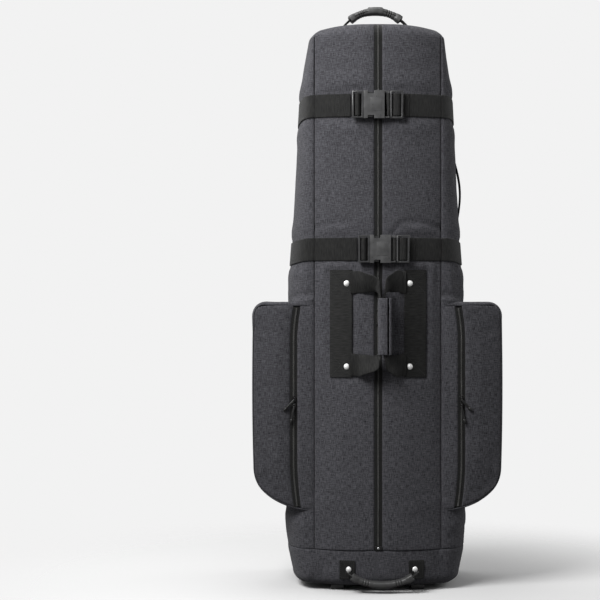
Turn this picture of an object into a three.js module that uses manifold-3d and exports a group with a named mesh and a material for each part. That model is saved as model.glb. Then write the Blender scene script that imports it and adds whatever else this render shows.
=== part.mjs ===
// A soft-sided golf travel case with two front flaps, two side pockets, wheels and an inner support rod.
// Millimetres, +Z up, the front faces -Y, the floor is z = 0 and x = 0 is the case's middle plane.
import * as THREE from "three";
import { mergeVertices } from "three/addons/utils/BufferGeometryUtils.js";
import Module from "manifold-3d";

const wasm = await Module();
wasm.setup();

// ---- Driving dimensions ----
const GAP = 0.3; // between pieces that touch
const WALL = 6; // padded fabric wall
const FRONT_Y = -128; // the crown of the front face
const CROWN = 28; // how far the front seams lie behind the crown
const SEAM_X = 142; // the seams, and hinge lines, of the two front flaps
const SEAM_Y = FRONT_Y + CROWN;
const HINGE_Y = SEAM_Y - 3.2; // the hinge lines, in front of all that doesn't swing
const WIDEST_Y = FRONT_Y + 140; // depth at which the case is widest
const BASE_Z = 12; // underside of the fabric, above its feet
const TOP_Z = 1266;
const BOOT_Z = 92; // seam between the base boot and the upper panels
const CAP_Z = 1240; // seam between the side panels and the top panel
const BACK_SEAM_Y = 108; // seam between the side gussets and the back panel
const TOP_ROUND = 30;
const TOP_SAG = 15; // how far the top falls from its middle to its sides
const BASE_ROUND = 22;
// Height, half width and back face of the body at its shaping levels.
const LEVELS = [
  { z: 34, half: 191, back: 158 },
  { z: 80, half: 201, back: 162 },
  { z: 140, half: 206, back: 162 },
  { z: 650, half: 201, back: 162 },
  { z: 800, half: 190, back: 158 },
  { z: 1115, half: 172.5, back: 144 },
  { z: TOP_Z - TOP_ROUND, half: 155, back: 138 },
];
const ZIP = { half: 8.5, sunk: 1.2, thick: 2.2, upper: 622, lower: 590 };
const STRAP = { wide: 51, thick: 2.2, upper: 1082, lower: 762 };
const BUCKLE = { tall: 62, deep: 12, off: 3.4, insert: 20, wall: 2.4 };
const POCKET = { outer: 282, top: 645, low: 175, back: 62, round: 14, wall: 5 };
const POCKET_ZIP = { x: 187, low: 202, high: 612, upper: 427, lower: 412 };
const CARRY = { inner: 57, outer: 108, low: 477, high: 716, wrapLow: 528, wrapHigh: 653 };
const WHEEL = { r: 31, wide: 24, x: 140, y: 142, axle: 4 };
const RIVET = { r: 6, sides: 12, x: 70, low: 501, high: 686 };
const TOP_HANDLE = { half: 84, rise: 69, y: 12, webbing: 15 };
const BASE_HANDLE = { x: 8, half: 80, z: 48, drop: 38, y: FRONT_Y - 14, webbing: 11, patch: 17 };
const ROD = { x: 0, y: 14, sides: 20 };

// ---- Solids ----
function flipFaces(triangles) {
  for (let i = 0; i < triangles.length; i += 3)
    [triangles[i + 1], triangles[i + 2]] = [triangles[i + 2], triangles[i + 1]];
  return triangles;
}

// A closed geometry as a manifold solid, with its faces turned outwards.
function solidOf(geometry) {
  const bare = new THREE.BufferGeometry();
  const flat = geometry.index ? geometry.toNonIndexed() : geometry;
  bare.setAttribute("position", flat.getAttribute("position"));
  const merged = mergeVertices(bare, 1e-3);
  const vertProperties = new Float32Array(merged.attributes.position.array);
  const triVerts = new Uint32Array(merged.index.array);
  const made = new wasm.Manifold(new wasm.Mesh({ numProp: 3, vertProperties, triVerts }));
  if (made.volume() >= 0) return made;
  return new wasm.Manifold(new wasm.Mesh({ numProp: 3, vertProperties, triVerts: flipFaces(triVerts) }));
}

function geometryOf(solid) {
  const mesh = solid.getMesh();
  const geometry = new THREE.BufferGeometry();
  geometry.setAttribute("position", new THREE.BufferAttribute(new Float32Array(mesh.vertProperties), 3));
  geometry.setIndex(new THREE.BufferAttribute(new Uint32Array(mesh.triVerts), 1));
  geometry.computeVertexNormals();
  return geometry;
}

// Joins rings of points, all with the same count, into one closed skin with a fan at each end.
function loft(rings) {
  const count = rings[0].length;
  const points = rings.flat();
  const ends = [rings[0], rings.at(-1)].map((ring) =>
    ring.reduce((sum, p) => sum.add(p), new THREE.Vector3()).divideScalar(count),
  );
  const index = [];
  const [first, last] = [points.length, points.length + 1];
  const lastRing = count * (rings.length - 1);
  for (let j = 0; j < count; j++) {
    const k = (j + 1) % count;
    for (let i = 0; i < lastRing; i += count)
      index.push(i + j, i + k, i + count + k, i + j, i + count + k, i + count + j);
    index.push(first, k, j, last, lastRing + j, lastRing + k);
  }
  const geometry = new THREE.BufferGeometry().setFromPoints([...points, ...ends]);
  geometry.setIndex(index);
  return solidOf(geometry);
}

function box(x0, x1, y0, y1, z0, z1) {
  const geometry = new THREE.BoxGeometry(x1 - x0, y1 - y0, z1 - z0);
  return solidOf(geometry.translate((x0 + x1) / 2, (y0 + y1) / 2, (z0 + z1) / 2));
}

function cylinder(r, length, axis, at, sides = 20) {
  const geometry = new THREE.CylinderGeometry(r, r, length, sides);
  if (axis === "x") geometry.rotateZ(Math.PI / 2);
  if (axis === "z") geometry.rotateX(Math.PI / 2);
  return solidOf(geometry.translate(...at));
}

// A solid of revolution about a vertical line, from a profile of [radius, z] points.
function turned(profile, x, y, sides = ROD.sides) {
  const points = profile.map(([r, z]) => new THREE.Vector2(r, z));
  const geometry = new THREE.LatheGeometry(points, sides);
  return solidOf(geometry.rotateX(Math.PI / 2).translate(x, y, 0));
}

const mirrorX = (solid) => solid.mirror([1, 0, 0]);

// A strip or bar along a path. Each stop has a centre, an across direction and its half sizes.
function bar(stops) {
  return loft(
    stops.map(({ at, across, half, thick }) => {
      const a = new THREE.Vector3(...across).normalize().multiplyScalar(half);
      return [
        [1, 1],
        [-1, 1],
        [-1, -1],
        [1, -1],
      ].map(([i, j]) => new THREE.Vector3(...at).addScaledVector(a, i).addScaledVector(thick, j));
    }),
  );
}

// A round grip along an arch: its rings turn with the arch's slope.
function grip(arch, radiusAt, steps, sides) {
  const rings = [];
  for (let i = 0; i <= steps; i++) {
    const t = i / steps;
    const at = arch.getPoint(t);
    const along = arch.getTangent(t);
    const side = new THREE.Vector3(0, 1, 0);
    const up = new THREE.Vector3().crossVectors(along, side).normalize();
    const [flat, tall] = radiusAt(t);
    rings.push(
      Array.from({ length: sides }, (_, j) => {
        const a = (j / sides) * 2 * Math.PI;
        return at
          .clone()
          .addScaledVector(side, flat * Math.cos(a))
          .addScaledVector(up, tall * Math.sin(a));
      }),
    );
  }
  return loft(rings);
}

// ---- The body's outline ----
function levelAt(z) {
  const above = LEVELS.findIndex((l) => l.z >= z);
  if (above === 0) return LEVELS[0];
  if (above < 0) return LEVELS.at(-1);
  const [a, b] = [LEVELS[above - 1], LEVELS[above]];
  const t = (z - a.z) / (b.z - a.z);
  return { half: a.half + t * (b.half - a.half), back: a.back + t * (b.back - a.back) };
}

const frontAt = (x) => FRONT_Y + CROWN * (x / SEAM_X) ** 2;

// Half the outline at one height, from the front's middle to the back's middle.
function halfOutline(z) {
  const { half, back } = levelAt(z);
  const points = [];
  const [frontSteps, cornerSteps, backSteps] = [6, 5, 7];
  for (let i = 0; i < frontSteps; i++) {
    const x = (SEAM_X * i) / frontSteps;
    points.push(new THREE.Vector2(x, frontAt(x)));
  }
  for (let i = 0; i < cornerSteps; i++) {
    const a = ((i / cornerSteps) * Math.PI) / 2;
    const out = (half - SEAM_X) * Math.sin(a) ** 0.85;
    points.push(new THREE.Vector2(SEAM_X + out, WIDEST_Y - (WIDEST_Y - SEAM_Y) * Math.cos(a) ** 0.85));
  }
  for (let i = 0; i <= backSteps; i++) {
    const a = ((i / backSteps) * Math.PI) / 2;
    const x = i === backSteps ? 0 : half * Math.cos(a) ** 0.45;
    points.push(new THREE.Vector2(x, WIDEST_Y + (back - WIDEST_Y) * Math.sin(a) ** 0.45));
  }
  return points;
}

// The whole outline at one height, moved inwards by inset, as a ring that runs anticlockwise from above.
function ring(z, inset) {
  const right = halfOutline(z);
  const left = right
    .slice(1, -1)
    .reverse()
    .map((p) => new THREE.Vector2(-p.x, p.y));
  const all = [...right, ...left];
  return all.map((p, i) => {
    const along = all[(i + 1) % all.length].clone().sub(all.at(i - 1));
    const inward = new THREE.Vector2(-along.y, along.x).normalize();
    return new THREE.Vector3(p.x + inward.x * inset, p.y + inward.y * inset, z);
  });
}

// The body as a solid, with every face moved inwards by inset.
function body(inset) {
  const rings = [];
  const rounding = (round, centre, sign, angles) => {
    for (const a of angles) {
      const z = centre + sign * (round - inset) * Math.sin(a);
      const level = ring(z, round - (round - inset) * Math.cos(a));
      if (sign > 0) for (const p of level) p.z -= TOP_SAG * Math.sin(a) * Math.abs(p.x / SEAM_X) ** 3;
      rings.push(level);
    }
  };
  const quarter = Math.PI / 2;
  rounding(BASE_ROUND, BASE_Z + BASE_ROUND, -1, [quarter, quarter * 0.6, quarter * 0.25]);
  for (const level of LEVELS) rings.push(ring(level.z, inset));
  rounding(TOP_ROUND, TOP_Z - TOP_ROUND, 1, [quarter * 0.3, quarter * 0.6, quarter]);
  return loft(rings);
}

// A band of the body between two heights, between two insets.
function band(z0, z1, outer, inner) {
  const middle = [(z0 + z1) / 2];
  const skin = (inset) => loft([z0, ...middle, z1].map((z) => ring(z, inset)));
  return skin(outer).subtract(loft([z0 - 1, z1 + 1].map((z) => ring(z, inner))));
}

const FAR = 2000;
const bodyOutside = body(0);
const bodyClear = body(-GAP);
const shell = bodyOutside.subtract(body(WALL));

// ---- Panels ----
// The front opens from the boot up, and over the top's rounded edge as far back as the hinge lines.
function frontRegion(x0, x1) {
  const upright = box(x0, x1, -FAR, SEAM_Y + 2 * WALL, BOOT_Z + GAP, CAP_Z - GAP);
  return upright.add(box(x0, x1, -FAR, HINGE_Y, CAP_Z - 1, FAR));
}

const frontFlap = () => shell.intersect(frontRegion(ZIP.half, SEAM_X - GAP));
const sideGusset = () => shell.intersect(box(SEAM_X + GAP, FAR, -FAR, BACK_SEAM_Y - GAP, BOOT_Z + GAP, CAP_Z - GAP));
const backPanel = () => shell.intersect(box(-FAR, FAR, BACK_SEAM_Y + GAP, FAR, BOOT_Z + GAP, CAP_Z - GAP));

function topPanel() {
  const frontBay = box(-SEAM_X - GAP, SEAM_X + GAP, -FAR, HINGE_Y + GAP, 0, FAR);
  return shell.intersect(box(-FAR, FAR, -FAR, FAR, CAP_Z + GAP, FAR)).subtract(frontBay);
}

function zipTape() {
  const sheet = body(ZIP.sunk).subtract(body(ZIP.sunk + ZIP.thick));
  return sheet.intersect(frontRegion(GAP, ZIP.half - GAP));
}

// ---- Base, wheels and kick plate ----
const HOUSING = { x0: 118, x1: 162, y0: 94, y1: 170, z0: 8, z1: 84 };
const housingBlock = (grow) =>
  box(
    HOUSING.x0 - grow,
    HOUSING.x1 + grow,
    HOUSING.y0 - grow,
    HOUSING.y1 + grow,
    HOUSING.z0 - grow,
    HOUSING.z1 + grow,
  );

// The boot: the tray of the base with, sewn to its front, the two patches that hold the base handle.
function baseBoot() {
  const { x, half, z, patch } = BASE_HANDLE;
  const tray = shell.intersect(box(-FAR, FAR, -FAR, FAR, 0, BOOT_Z - GAP));
  const bay = housingBlock(GAP);
  const patches = [-1, 1].map((side) => {
    const middle = x + side * (half - 3);
    const sheet = frontStrip(middle - patch, middle + patch, z - 20, z + 22, -2, 5);
    return sheet.add(cylinder(RIVET.r, 3, "y", [middle, frontAt(middle) - 3.2, z + 2], RIVET.sides));
  });
  return patches.reduce((sum, sheet) => sum.add(sheet), tray).subtract(bay).subtract(mirrorX(bay));
}

function wheelHousing() {
  const { r, wide, x, y } = WHEEL;
  const cavity = cylinder(r + 3, wide + 3, "x", [x, y, r], 24);
  const mouth = box(x - wide / 2 - 1.5, x + wide / 2 + 1.5, y - r - 3, y + r + 3, -5, r);
  const tail = box(x - wide / 2 - 1.5, x + wide / 2 + 1.5, y, y + r + 10, 0, r + 18);
  const bore = cylinder(WHEEL.axle + GAP, 60, "x", [x, y, r], 16);
  const slope = box(x - 40, x + 40, -40, 40, -40, 0).rotate([45, 0, 0]).translate([0, HOUSING.y1 - 6, 2]);
  return housingBlock(0).subtract(cavity).subtract(mouth).subtract(tail).subtract(bore).subtract(slope);
}

function wheel() {
  const { r, wide, x, y, axle } = WHEEL;
  const hub = axle + GAP + 0.1;
  const tread = [
    [hub, -wide / 2],
    [r - 4, -wide / 2],
    [r - 0.6, -wide / 4],
    [r, 0],
    [r - 0.6, wide / 4],
    [r - 4, wide / 2],
    [hub, wide / 2],
    [hub, -wide / 2],
  ].map(([radius, h]) => new THREE.Vector2(radius, h));
  const geometry = new THREE.LatheGeometry(tread, 24).rotateZ(Math.PI / 2);
  return solidOf(geometry.translate(x, y, r));
}

const axlePin = () => cylinder(WHEEL.axle, HOUSING.x1 - HOUSING.x0 - 2, "x", [WHEEL.x, WHEEL.y, WHEEL.r], 16);

function baseBoard() {
  const [halfWide, front, back, corner] = [112, SEAM_Y + 22, 128, 18];
  const outline = new THREE.Shape();
  outline.moveTo(-halfWide + corner, front);
  outline.lineTo(halfWide - corner, front);
  outline.quadraticCurveTo(halfWide, front, halfWide, front + corner);
  outline.lineTo(halfWide, back);
  outline.lineTo(-halfWide, back);
  outline.lineTo(-halfWide, front + corner);
  outline.quadraticCurveTo(-halfWide, front, -halfWide + corner, front);
  const plate = new THREE.ExtrudeGeometry(outline, { depth: 4, bevelEnabled: false, curveSegments: 4 });
  return solidOf(plate.translate(0, 0, BASE_Z + WALL + GAP));
}

function frontFoot() {
  const [x, y] = [90, FRONT_Y + 52];
  const block = [
    [14, 16, 0],
    [15, 18, 3],
    [15, 18, BASE_Z - GAP],
  ].map(([hx, hy, z]) =>
    [
      [-1, -1],
      [1, -1],
      [1, 1],
      [-1, 1],
    ].map(([i, j]) => new THREE.Vector3(x + i * hx, y + j * hy, z)),
  );
  return loft(block);
}

// The ribbed plate on the back that the case leans and slides on, down to the base.
function kickPlate() {
  const inside = BACK_SEAM_Y + 20;
  const plate = box(-96, 96, inside, 167, 100, 330);
  const ribs = [-72, -24, 24, 72].map((x) => box(x - 6, x + 6, inside, WHEEL.y + WHEEL.r, 108, 322));
  return ribs.reduce((sum, rib) => sum.add(rib), plate).subtract(bodyClear);
}

// ---- Side pockets ----
function pocketOutline() {
  const { outer, top, low, round } = POCKET;
  const [edge, ceiling, floor] = [outer - round, top - round, low + round];
  const shape = new THREE.Shape();
  shape.moveTo(110, floor);
  shape.lineTo(SEAM_X, floor);
  shape.quadraticCurveTo(SEAM_X + 70, floor + 7, edge - 22, floor + 39);
  shape.quadraticCurveTo(edge - 3, floor + 56, edge - 3, floor + 87);
  shape.quadraticCurveTo(edge + 2, 430, edge - 2, ceiling - 19);
  shape.quadraticCurveTo(edge - 3, ceiling - 3, edge - 18, ceiling - 2);
  shape.lineTo(110, ceiling + 1);
  return shape;
}

function pocketBlock(inset) {
  const { round, back } = POCKET;
  const rounding = round - inset;
  const geometry = new THREE.ExtrudeGeometry(pocketOutline(), {
    depth: back - SEAM_Y - 2 * round,
    curveSegments: 4,
    bevelSize: rounding,
    bevelThickness: rounding,
    bevelSegments: 3,
  });
  // The outline is drawn in x and z, and extruded from the front backwards.
  return solidOf(geometry.rotateX(Math.PI / 2).translate(0, back - round, 0));
}

function sidePocket() {
  const { wall } = POCKET;
  const { x, low, high } = POCKET_ZIP;
  const slot = box(x - 5, x + 5, SEAM_Y - 9, SEAM_Y + wall + 4, low, high);
  return pocketBlock(0).subtract(pocketBlock(wall)).subtract(bodyClear).subtract(slot);
}

function pocketZip() {
  const { x, low, high } = POCKET_ZIP;
  const tape = box(x - 5 + GAP, x + 5 - GAP, SEAM_Y + 1.2, SEAM_Y + 3.2, low + GAP, high - GAP);
  const coil = box(x - 1.8, x + 1.8, SEAM_Y + 0.2, SEAM_Y + 2, low + 4, high - 4);
  return tape.add(coil);
}

// ---- Zip sliders, each with a pull that hangs from it ----
function slider(x, front, back, z, halfWide, halfTall, hang) {
  const plate = box(x - halfWide, x + halfWide, front, back, z - halfTall, z + halfTall);
  return plate.add(box(x - halfWide / 2, x + halfWide / 2, front, front + 1.8, z - hang, z));
}

const mainSlider = (z) => slider(0, FRONT_Y - 2.6, FRONT_Y + ZIP.sunk - GAP, z, 4.6, 6, 20);
const pocketSlider = (z) => slider(POCKET_ZIP.x, SEAM_Y - 2.8, SEAM_Y + 0.2 - GAP, z, 4, 5.5, 5.5);
const pocketSliderWithCord = (z) => slider(POCKET_ZIP.x, SEAM_Y - 2.8, SEAM_Y + 0.2 - GAP, z, 4, 5.5, 34);

// ---- Straps and buckles ----
// A strip of webbing on the front face, from x0 to x1, lifted off the fabric.
function frontStrip(x0, x1, z0, z1, lift, thick) {
  const steps = Math.max(2, Math.round((x1 - x0) / 24));
  const xs = Array.from({ length: steps + 1 }, (_, i) => x0 + ((x1 - x0) * i) / steps);
  const shape = new THREE.Shape([
    ...xs.map((x) => new THREE.Vector2(x, frontAt(x) - lift - thick)),
    ...xs.reverse().map((x) => new THREE.Vector2(x, frontAt(x) - lift)),
  ]);
  const geometry = new THREE.ExtrudeGeometry(shape, { depth: z1 - z0, bevelEnabled: false });
  return solidOf(geometry.translate(0, 0, z0));
}

function strapBand(z) {
  const { wide, thick } = STRAP;
  const whole = band(z - wide / 2, z + wide / 2, -GAP - thick, -GAP);
  return whole.subtract(box(-SEAM_X - 1, SEAM_X + 1, -FAR, 0, 0, FAR));
}

const strapFront = (x0, x1, z) => frontStrip(x0, x1, z - STRAP.wide / 2, z + STRAP.wide / 2, GAP, STRAP.thick);

// The socket half: a flat sleeve open at its left end, with release windows above and below, and a bar.
function buckleSocket(x, z) {
  const { tall, deep, off, wall, insert } = BUCKLE;
  const [y0, y1] = [FRONT_Y - off - deep, FRONT_Y - off];
  const [length, barEnd] = [46, 57];
  const sleeve = box(x, x + length, y0, y1, z - tall / 2, z + tall / 2);
  const cavity = box(x - 1, x + insert + 4, y0 + wall, y1 - wall, z - tall / 2 + wall, z + tall / 2 - wall);
  const window = box(x + 9, x + insert + 3, y0 - 1, y1 + 1, z + tall / 2 - 7, z + tall / 2 + 1);
  const frame = box(x + length - 1, x + barEnd, y0 + 3, y1 - 2, z - tall / 2 + 1, z + tall / 2 - 1);
  const slot = box(x + length + 1, x + barEnd - 4, y0 - 1, y1 + 1, z - STRAP.wide / 2 - 1, z + STRAP.wide / 2 + 1);
  return sleeve
    .subtract(cavity)
    .subtract(window)
    .subtract(window.mirror([0, 0, 1]).translate([0, 0, 2 * z]))
    .add(frame.subtract(slot));
}

// The plug half: a webbing frame with two slots, a middle guide and two side prongs.
function bucklePlug(x, z) {
  const { tall, deep, off, wall, insert } = BUCKLE;
  const [y0, y1] = [FRONT_Y - off - deep + 2, FRONT_Y - off - 1];
  const inside = wall + 0.5;
  const [py0, py1] = [FRONT_Y - off - deep + inside, FRONT_Y - off - inside];
  const [left, right] = [x - 26, x - GAP];
  const frame = box(left, right, y0, y1, z - tall / 2 + 1, z + tall / 2 - 1);
  const slots = [left + 4, left + 14].map((at) =>
    box(at, at + 7, y0 - 1, y1 + 1, z - STRAP.wide / 2 - 1, z + STRAP.wide / 2 + 1),
  );
  const guide = box(right - 1, x + insert, py0, py1, z - 5, z + 5);
  const prong = (s) => {
    const edge = tall / 2 - inside;
    const [a, b] = [z + s * (edge - 6), z + s * edge];
    return box(right - 1, x + insert, py0, py1, Math.min(a, b), Math.max(a, b));
  };
  return slots.reduce((sum, slot) => sum.subtract(slot), frame).add(guide).add(prong(1)).add(prong(-1));
}

function triGlide(x, z) {
  const y1 = FRONT_Y - 2 * STRAP.thick - 3 * GAP;
  const [wide, tall] = [29, BUCKLE.tall];
  const frame = box(x, x + wide, y1 - 4, y1, z - tall / 2, z + tall / 2);
  const slots = [x + 4, x + 16.5].map((at) =>
    box(at, at + 8.5, y1 - 5, y1 + 1, z - STRAP.wide / 2 - 1, z + STRAP.wide / 2 + 1),
  );
  return slots.reduce((sum, slot) => sum.subtract(slot), frame);
}

// ---- Carry handles ----
// A webbing patch with its two rivet heads.
function carryPatch() {
  const sheet = frontStrip(CARRY.inner, CARRY.outer, CARRY.low, CARRY.high, GAP, 2.4);
  const head = (z) => cylinder(RIVET.r, 3, "y", [RIVET.x, frontAt(RIVET.x) - 3, z], RIVET.sides);
  return sheet.add(head(RIVET.low)).add(head(RIVET.high));
}

// A webbing loop on the right: out of its patch's inner edge, forward to the middle, down through the
// wrap on edge at bladeX, and back to the patch.
function carryLoop(bladeX) {
  const { inner, low, high, wrapLow, wrapHigh } = CARRY;
  const base = frontAt(inner) - 4.4;
  const [flat, slanted, turning, blade] = [
    [0, 1.3],
    [-0.5, 1.2],
    [-1.2, 0.4],
    [-1.3, 0],
  ].map(([x, y]) => new THREE.Vector3(x, y, 0));
  const lobe = (z, wrapZ, s) => [
    { at: [inner + 8, base, z], across: [0, 0, s], half: 19, thick: flat },
    { at: [inner - 14, base - 2, z - s], across: [0, 0, s], half: 19, thick: flat },
    { at: [34, FRONT_Y - 9, z - 2 * s], across: [0, -0.2, s], half: 18, thick: slanted },
    { at: [bladeX + 14, FRONT_Y - 20, z - 5 * s], across: [-0.3, -0.6, s], half: 16, thick: slanted },
    { at: [bladeX + 4, FRONT_Y - 27, z - 13 * s], across: [-0.1, -1.4, s], half: 13.5, thick: turning },
    { at: [bladeX, FRONT_Y - 29, wrapZ], across: [0, -1, 0], half: 9.5, thick: blade },
  ];
  return bar([...lobe(high - 28, wrapHigh + 4, 1), ...lobe(low + 28, wrapLow - 4, -1).reverse()]);
}

// The padded wrap that holds both loops together. It closes over its front, where a slit stays open.
function carryWrap() {
  const { wrapLow, wrapHigh } = CARRY;
  const [left, right, corner] = [-2, 28, 5];
  const section = (inset) => {
    const cut = corner - inset * (2 - Math.SQRT2);
    const [x0, x1] = [left + inset, right - inset];
    const [y0, y1] = [FRONT_Y - 45 + inset, FRONT_Y - 13 - inset];
    return [
      [x1, y1 - cut],
      [x1 - cut, y1],
      [x0 + cut, y1],
      [x0, y1 - cut],
      [x0, y0 + cut],
      [x0 + cut, y0],
      [x1 - cut, y0],
      [x1, y0 + cut],
    ];
  };
  const prism = (inset, over) =>
    loft([wrapLow - over, wrapHigh + over].map((z) => section(inset).map(([x, y]) => new THREE.Vector3(x, y, z))));
  const slit = box(18.5, 22.5, FRONT_Y - 50, FRONT_Y - 38, wrapLow - 1, wrapHigh + 1);
  return prism(0, 0).subtract(prism(3.2, 1)).subtract(slit);
}

// ---- Top, base and side handles ----
function archOf(half, foot, crest, x, y) {
  const point = (across, z) => new THREE.Vector3(x + across, y, z);
  const shoulder = half * 0.55;
  return new THREE.CubicBezierCurve3(
    point(-half, foot),
    point(-shoulder, crest),
    point(shoulder, crest),
    point(half, foot),
  );
}

function archWebbing(arch, half, thick, steps) {
  const stops = Array.from({ length: steps + 1 }, (_, i) => {
    const along = arch.getTangent(i / steps);
    const normal = new THREE.Vector3(-along.z, 0, along.x).multiplyScalar(thick / 2);
    return { at: arch.getPoint(i / steps).toArray(), across: [0, 1, 0], half, thick: normal };
  });
  return bar(stops);
}

// The part of an arch between two shares of its length.
const stretch = (arch, from, to) => ({
  getPoint: (t) => arch.getPoint(from + (to - from) * t),
  getTangent: (t) => arch.getTangent(from + (to - from) * t),
});

// A handle's webbing with a moulded grip around its middle, thinner towards the grip's ends.
function handle(arch, webbingHalf, span, thickness) {
  const thick = 2.6;
  const steps = 14;
  const webbing = archWebbing(arch, webbingHalf, thick, steps);
  const bore = archWebbing(arch, webbingHalf + GAP, thick + 2 * GAP, steps);
  const swell = (t) => {
    const taper = 1 - 0.16 * Math.abs(2 * t - 1) ** 4;
    return [(webbingHalf + 2.4) * taper + 0.4, thickness * taper];
  };
  const whole = grip(stretch(arch, span, 1 - span), swell, 12, 12);
  return { webbing, grip: whole.subtract(bore) };
}

function topHandle() {
  const { half, rise, y, webbing } = TOP_HANDLE;
  const foot = TOP_Z - 1;
  return handle(archOf(half, foot, foot + rise, 0, y), webbing, 0.2, 10);
}

function baseHandle() {
  const { x, half, z, drop, y, webbing } = BASE_HANDLE;
  return handle(archOf(half, z, z - drop, x, y), webbing, 0.1, 8.5);
}

// A webbing handle sewn to the right gusset, bowed a little away from it.
function sideHandle() {
  const [low, high, y, steps] = [836, 968, 14, 8];
  const stops = Array.from({ length: steps + 1 }, (_, i) => {
    const t = i / steps;
    const z = low + (high - low) * t;
    const bow = 9 * Math.sin(Math.PI * t);
    return { at: [levelAt(z).half + 2.2 + bow, y, z], across: [0, 1, 0], half: 15, thick: new THREE.Vector3(1.2, 0, 0) };
  });
  return bar(stops);
}

// ---- Support rod ----
const SPREAD = 0.45; // radial clearance between two telescoping tubes
const STEP = 1.3; // each tube's radius over that of the next
const TUBE_WALL = STEP - SPREAD;
const TUBES = [
  { name: "rod_tube_1", r: 12.5, low: 30, high: 313 },
  { name: "rod_tube_2", r: 12.5 - STEP, low: 253, high: 568 },
  { name: "rod_tube_3", r: 12.5 - 2 * STEP, low: 508, high: 848 },
  { name: "rod_tube_4", r: 12.5 - 3 * STEP, low: 788, high: 1172 },
];

const tube = ({ r, low, high }) =>
  turned(
    [
      [r, low],
      [r, high],
      [r - TUBE_WALL, high],
      [r - TUBE_WALL, low],
      [r, low],
    ],
    ROD.x,
    ROD.y,
  );

// A twist collar over a tube's mouth: wide below, over the outer tube, and close above, over the inner one.
function collar({ r, high }, inner) {
  const [bore, throat] = [r + SPREAD, inner.r + SPREAD];
  const [low, top] = [high - 17, high + 17];
  return turned(
    [
      [bore, low],
      [r + 2.4, low],
      [r + 3.2, low + 4],
      [r + 3.2, high - 2],
      [r + 2.2, high + 4],
      [r + 2, top],
      [throat, top],
      [throat, high + 1],
      [bore, high + 1],
      [bore, low],
    ],
    ROD.x,
    ROD.y,
  );
}

function rodFoot() {
  const { r, low } = TUBES[0];
  const floor = BASE_Z + WALL + 4 + 2 * GAP;
  return turned(
    [
      [0, floor],
      [r + 1.6, floor],
      [r + 2.4, floor + 3],
      [r + 2.2, low + 20],
      [r + SPREAD, low + 20],
      [r + SPREAD, low - GAP],
      [0, low - GAP],
    ],
    ROD.x,
    ROD.y,
  );
}

// The soft dome that spreads a knock over the club heads, with the socket for the last tube under it.
function rodDome() {
  const { r, high } = TUBES.at(-1);
  const [rim, radius, rise, skin] = [high + 2, 93, 46, 3];
  const arc = (drop, steps) =>
    Array.from({ length: steps + 1 }, (_, i) => {
      const a = (i / steps) * 1.15;
      return [((radius - drop) * Math.sin(a)) / Math.sin(1.15), rim + (rise - drop) * Math.cos(a * 1.366)];
    });
  const outside = arc(0, 8);
  const inside = arc(skin, 8).reverse();
  inside[0] = [radius - skin, rim];
  const socket = [
    [r + 6, inside.at(-1)[1] - 2],
    [r + 5, rim - 20],
    [r + SPREAD, rim - 20],
    [r + SPREAD, high + GAP],
    [0, high + GAP],
  ];
  const kept = inside.filter(([radial]) => radial > r + 8);
  return turned([...outside, ...kept, ...socket], ROD.x, ROD.y, 28);
}

// ---- Materials ----
const material = (color, roughness, metalness = 0) => new THREE.MeshStandardMaterial({ color, roughness, metalness });
const fabric = material(0x46464d, 0.95);
const webbing = material(0x232323, 0.9);
const tape = material(0x1c1c1a, 0.8);
const plastic = material(0x3c3c3c, 0.45);
const rubber = material(0x2a2a2a, 0.7);
const aluminium = material(0xb4b4b6, 0.3, 0.9);
const steel = material(0x8c8c90, 0.35, 0.9);

// ---- The case ----
const golfCase = new THREE.Group();

function place(name, solid, finish) {
  const mesh = new THREE.Mesh(geometryOf(solid), finish);
  mesh.name = name;
  golfCase.add(mesh);
}

// One piece on each side of the middle plane, the left one a mirror image.
function placePair(name, solid, finish) {
  place(`${name}_right`, solid, finish);
  place(`${name}_left`, mirrorX(solid), finish);
}

placePair("front_flap", frontFlap(), fabric);
placePair("side_gusset", sideGusset(), fabric);
place("back_panel", backPanel(), fabric);
place("top_panel", topPanel(), fabric);
place("base_boot", baseBoot(), fabric);

place("base_board", baseBoard(), plastic);
placePair("front_foot", frontFoot(), rubber);
placePair("wheel_housing", wheelHousing(), plastic);
placePair("wheel", wheel(), rubber);
placePair("wheel_axle", axlePin(), steel);
place("kick_plate", kickPlate(), plastic);

placePair("zip_tape", zipTape(), tape);
place("main_slider_upper", mainSlider(ZIP.upper), plastic);
place("main_slider_lower", mainSlider(ZIP.lower), plastic);

placePair("side_pocket", sidePocket(), fabric);
placePair("pocket_zip", pocketZip(), tape);
for (const [side, flip] of [
  ["right", (s) => s],
  ["left", mirrorX],
]) {
  place(`pocket_slider_upper_${side}`, flip(pocketSlider(POCKET_ZIP.upper)), plastic);
  place(`pocket_slider_lower_${side}`, flip(pocketSliderWithCord(POCKET_ZIP.lower)), plastic);
}

const STRAPS = [
  { name: "upper", z: STRAP.upper, socket: -33 },
  { name: "lower", z: STRAP.lower, socket: -19 },
];
for (const { name, z, socket } of STRAPS) {
  place(`${name}_strap_band`, strapBand(z), webbing);
  place(`${name}_strap_left`, strapFront(-SEAM_X + GAP, socket - 29, z), webbing);
  place(`${name}_strap_right`, strapFront(socket + 52, SEAM_X - GAP, z), webbing);
  place(`${name}_buckle_socket`, buckleSocket(socket, z), plastic);
  place(`${name}_buckle_plug`, bucklePlug(socket, z), plastic);
  place(`${name}_tri_glide`, triGlide(socket + 58.5, z), plastic);
}

placePair("carry_patch", carryPatch(), webbing);
place("carry_loop_right", carryLoop(11), webbing);
place("carry_loop_left", mirrorX(carryLoop(-3)), webbing);
place("carry_wrap", carryWrap(), fabric);

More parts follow.
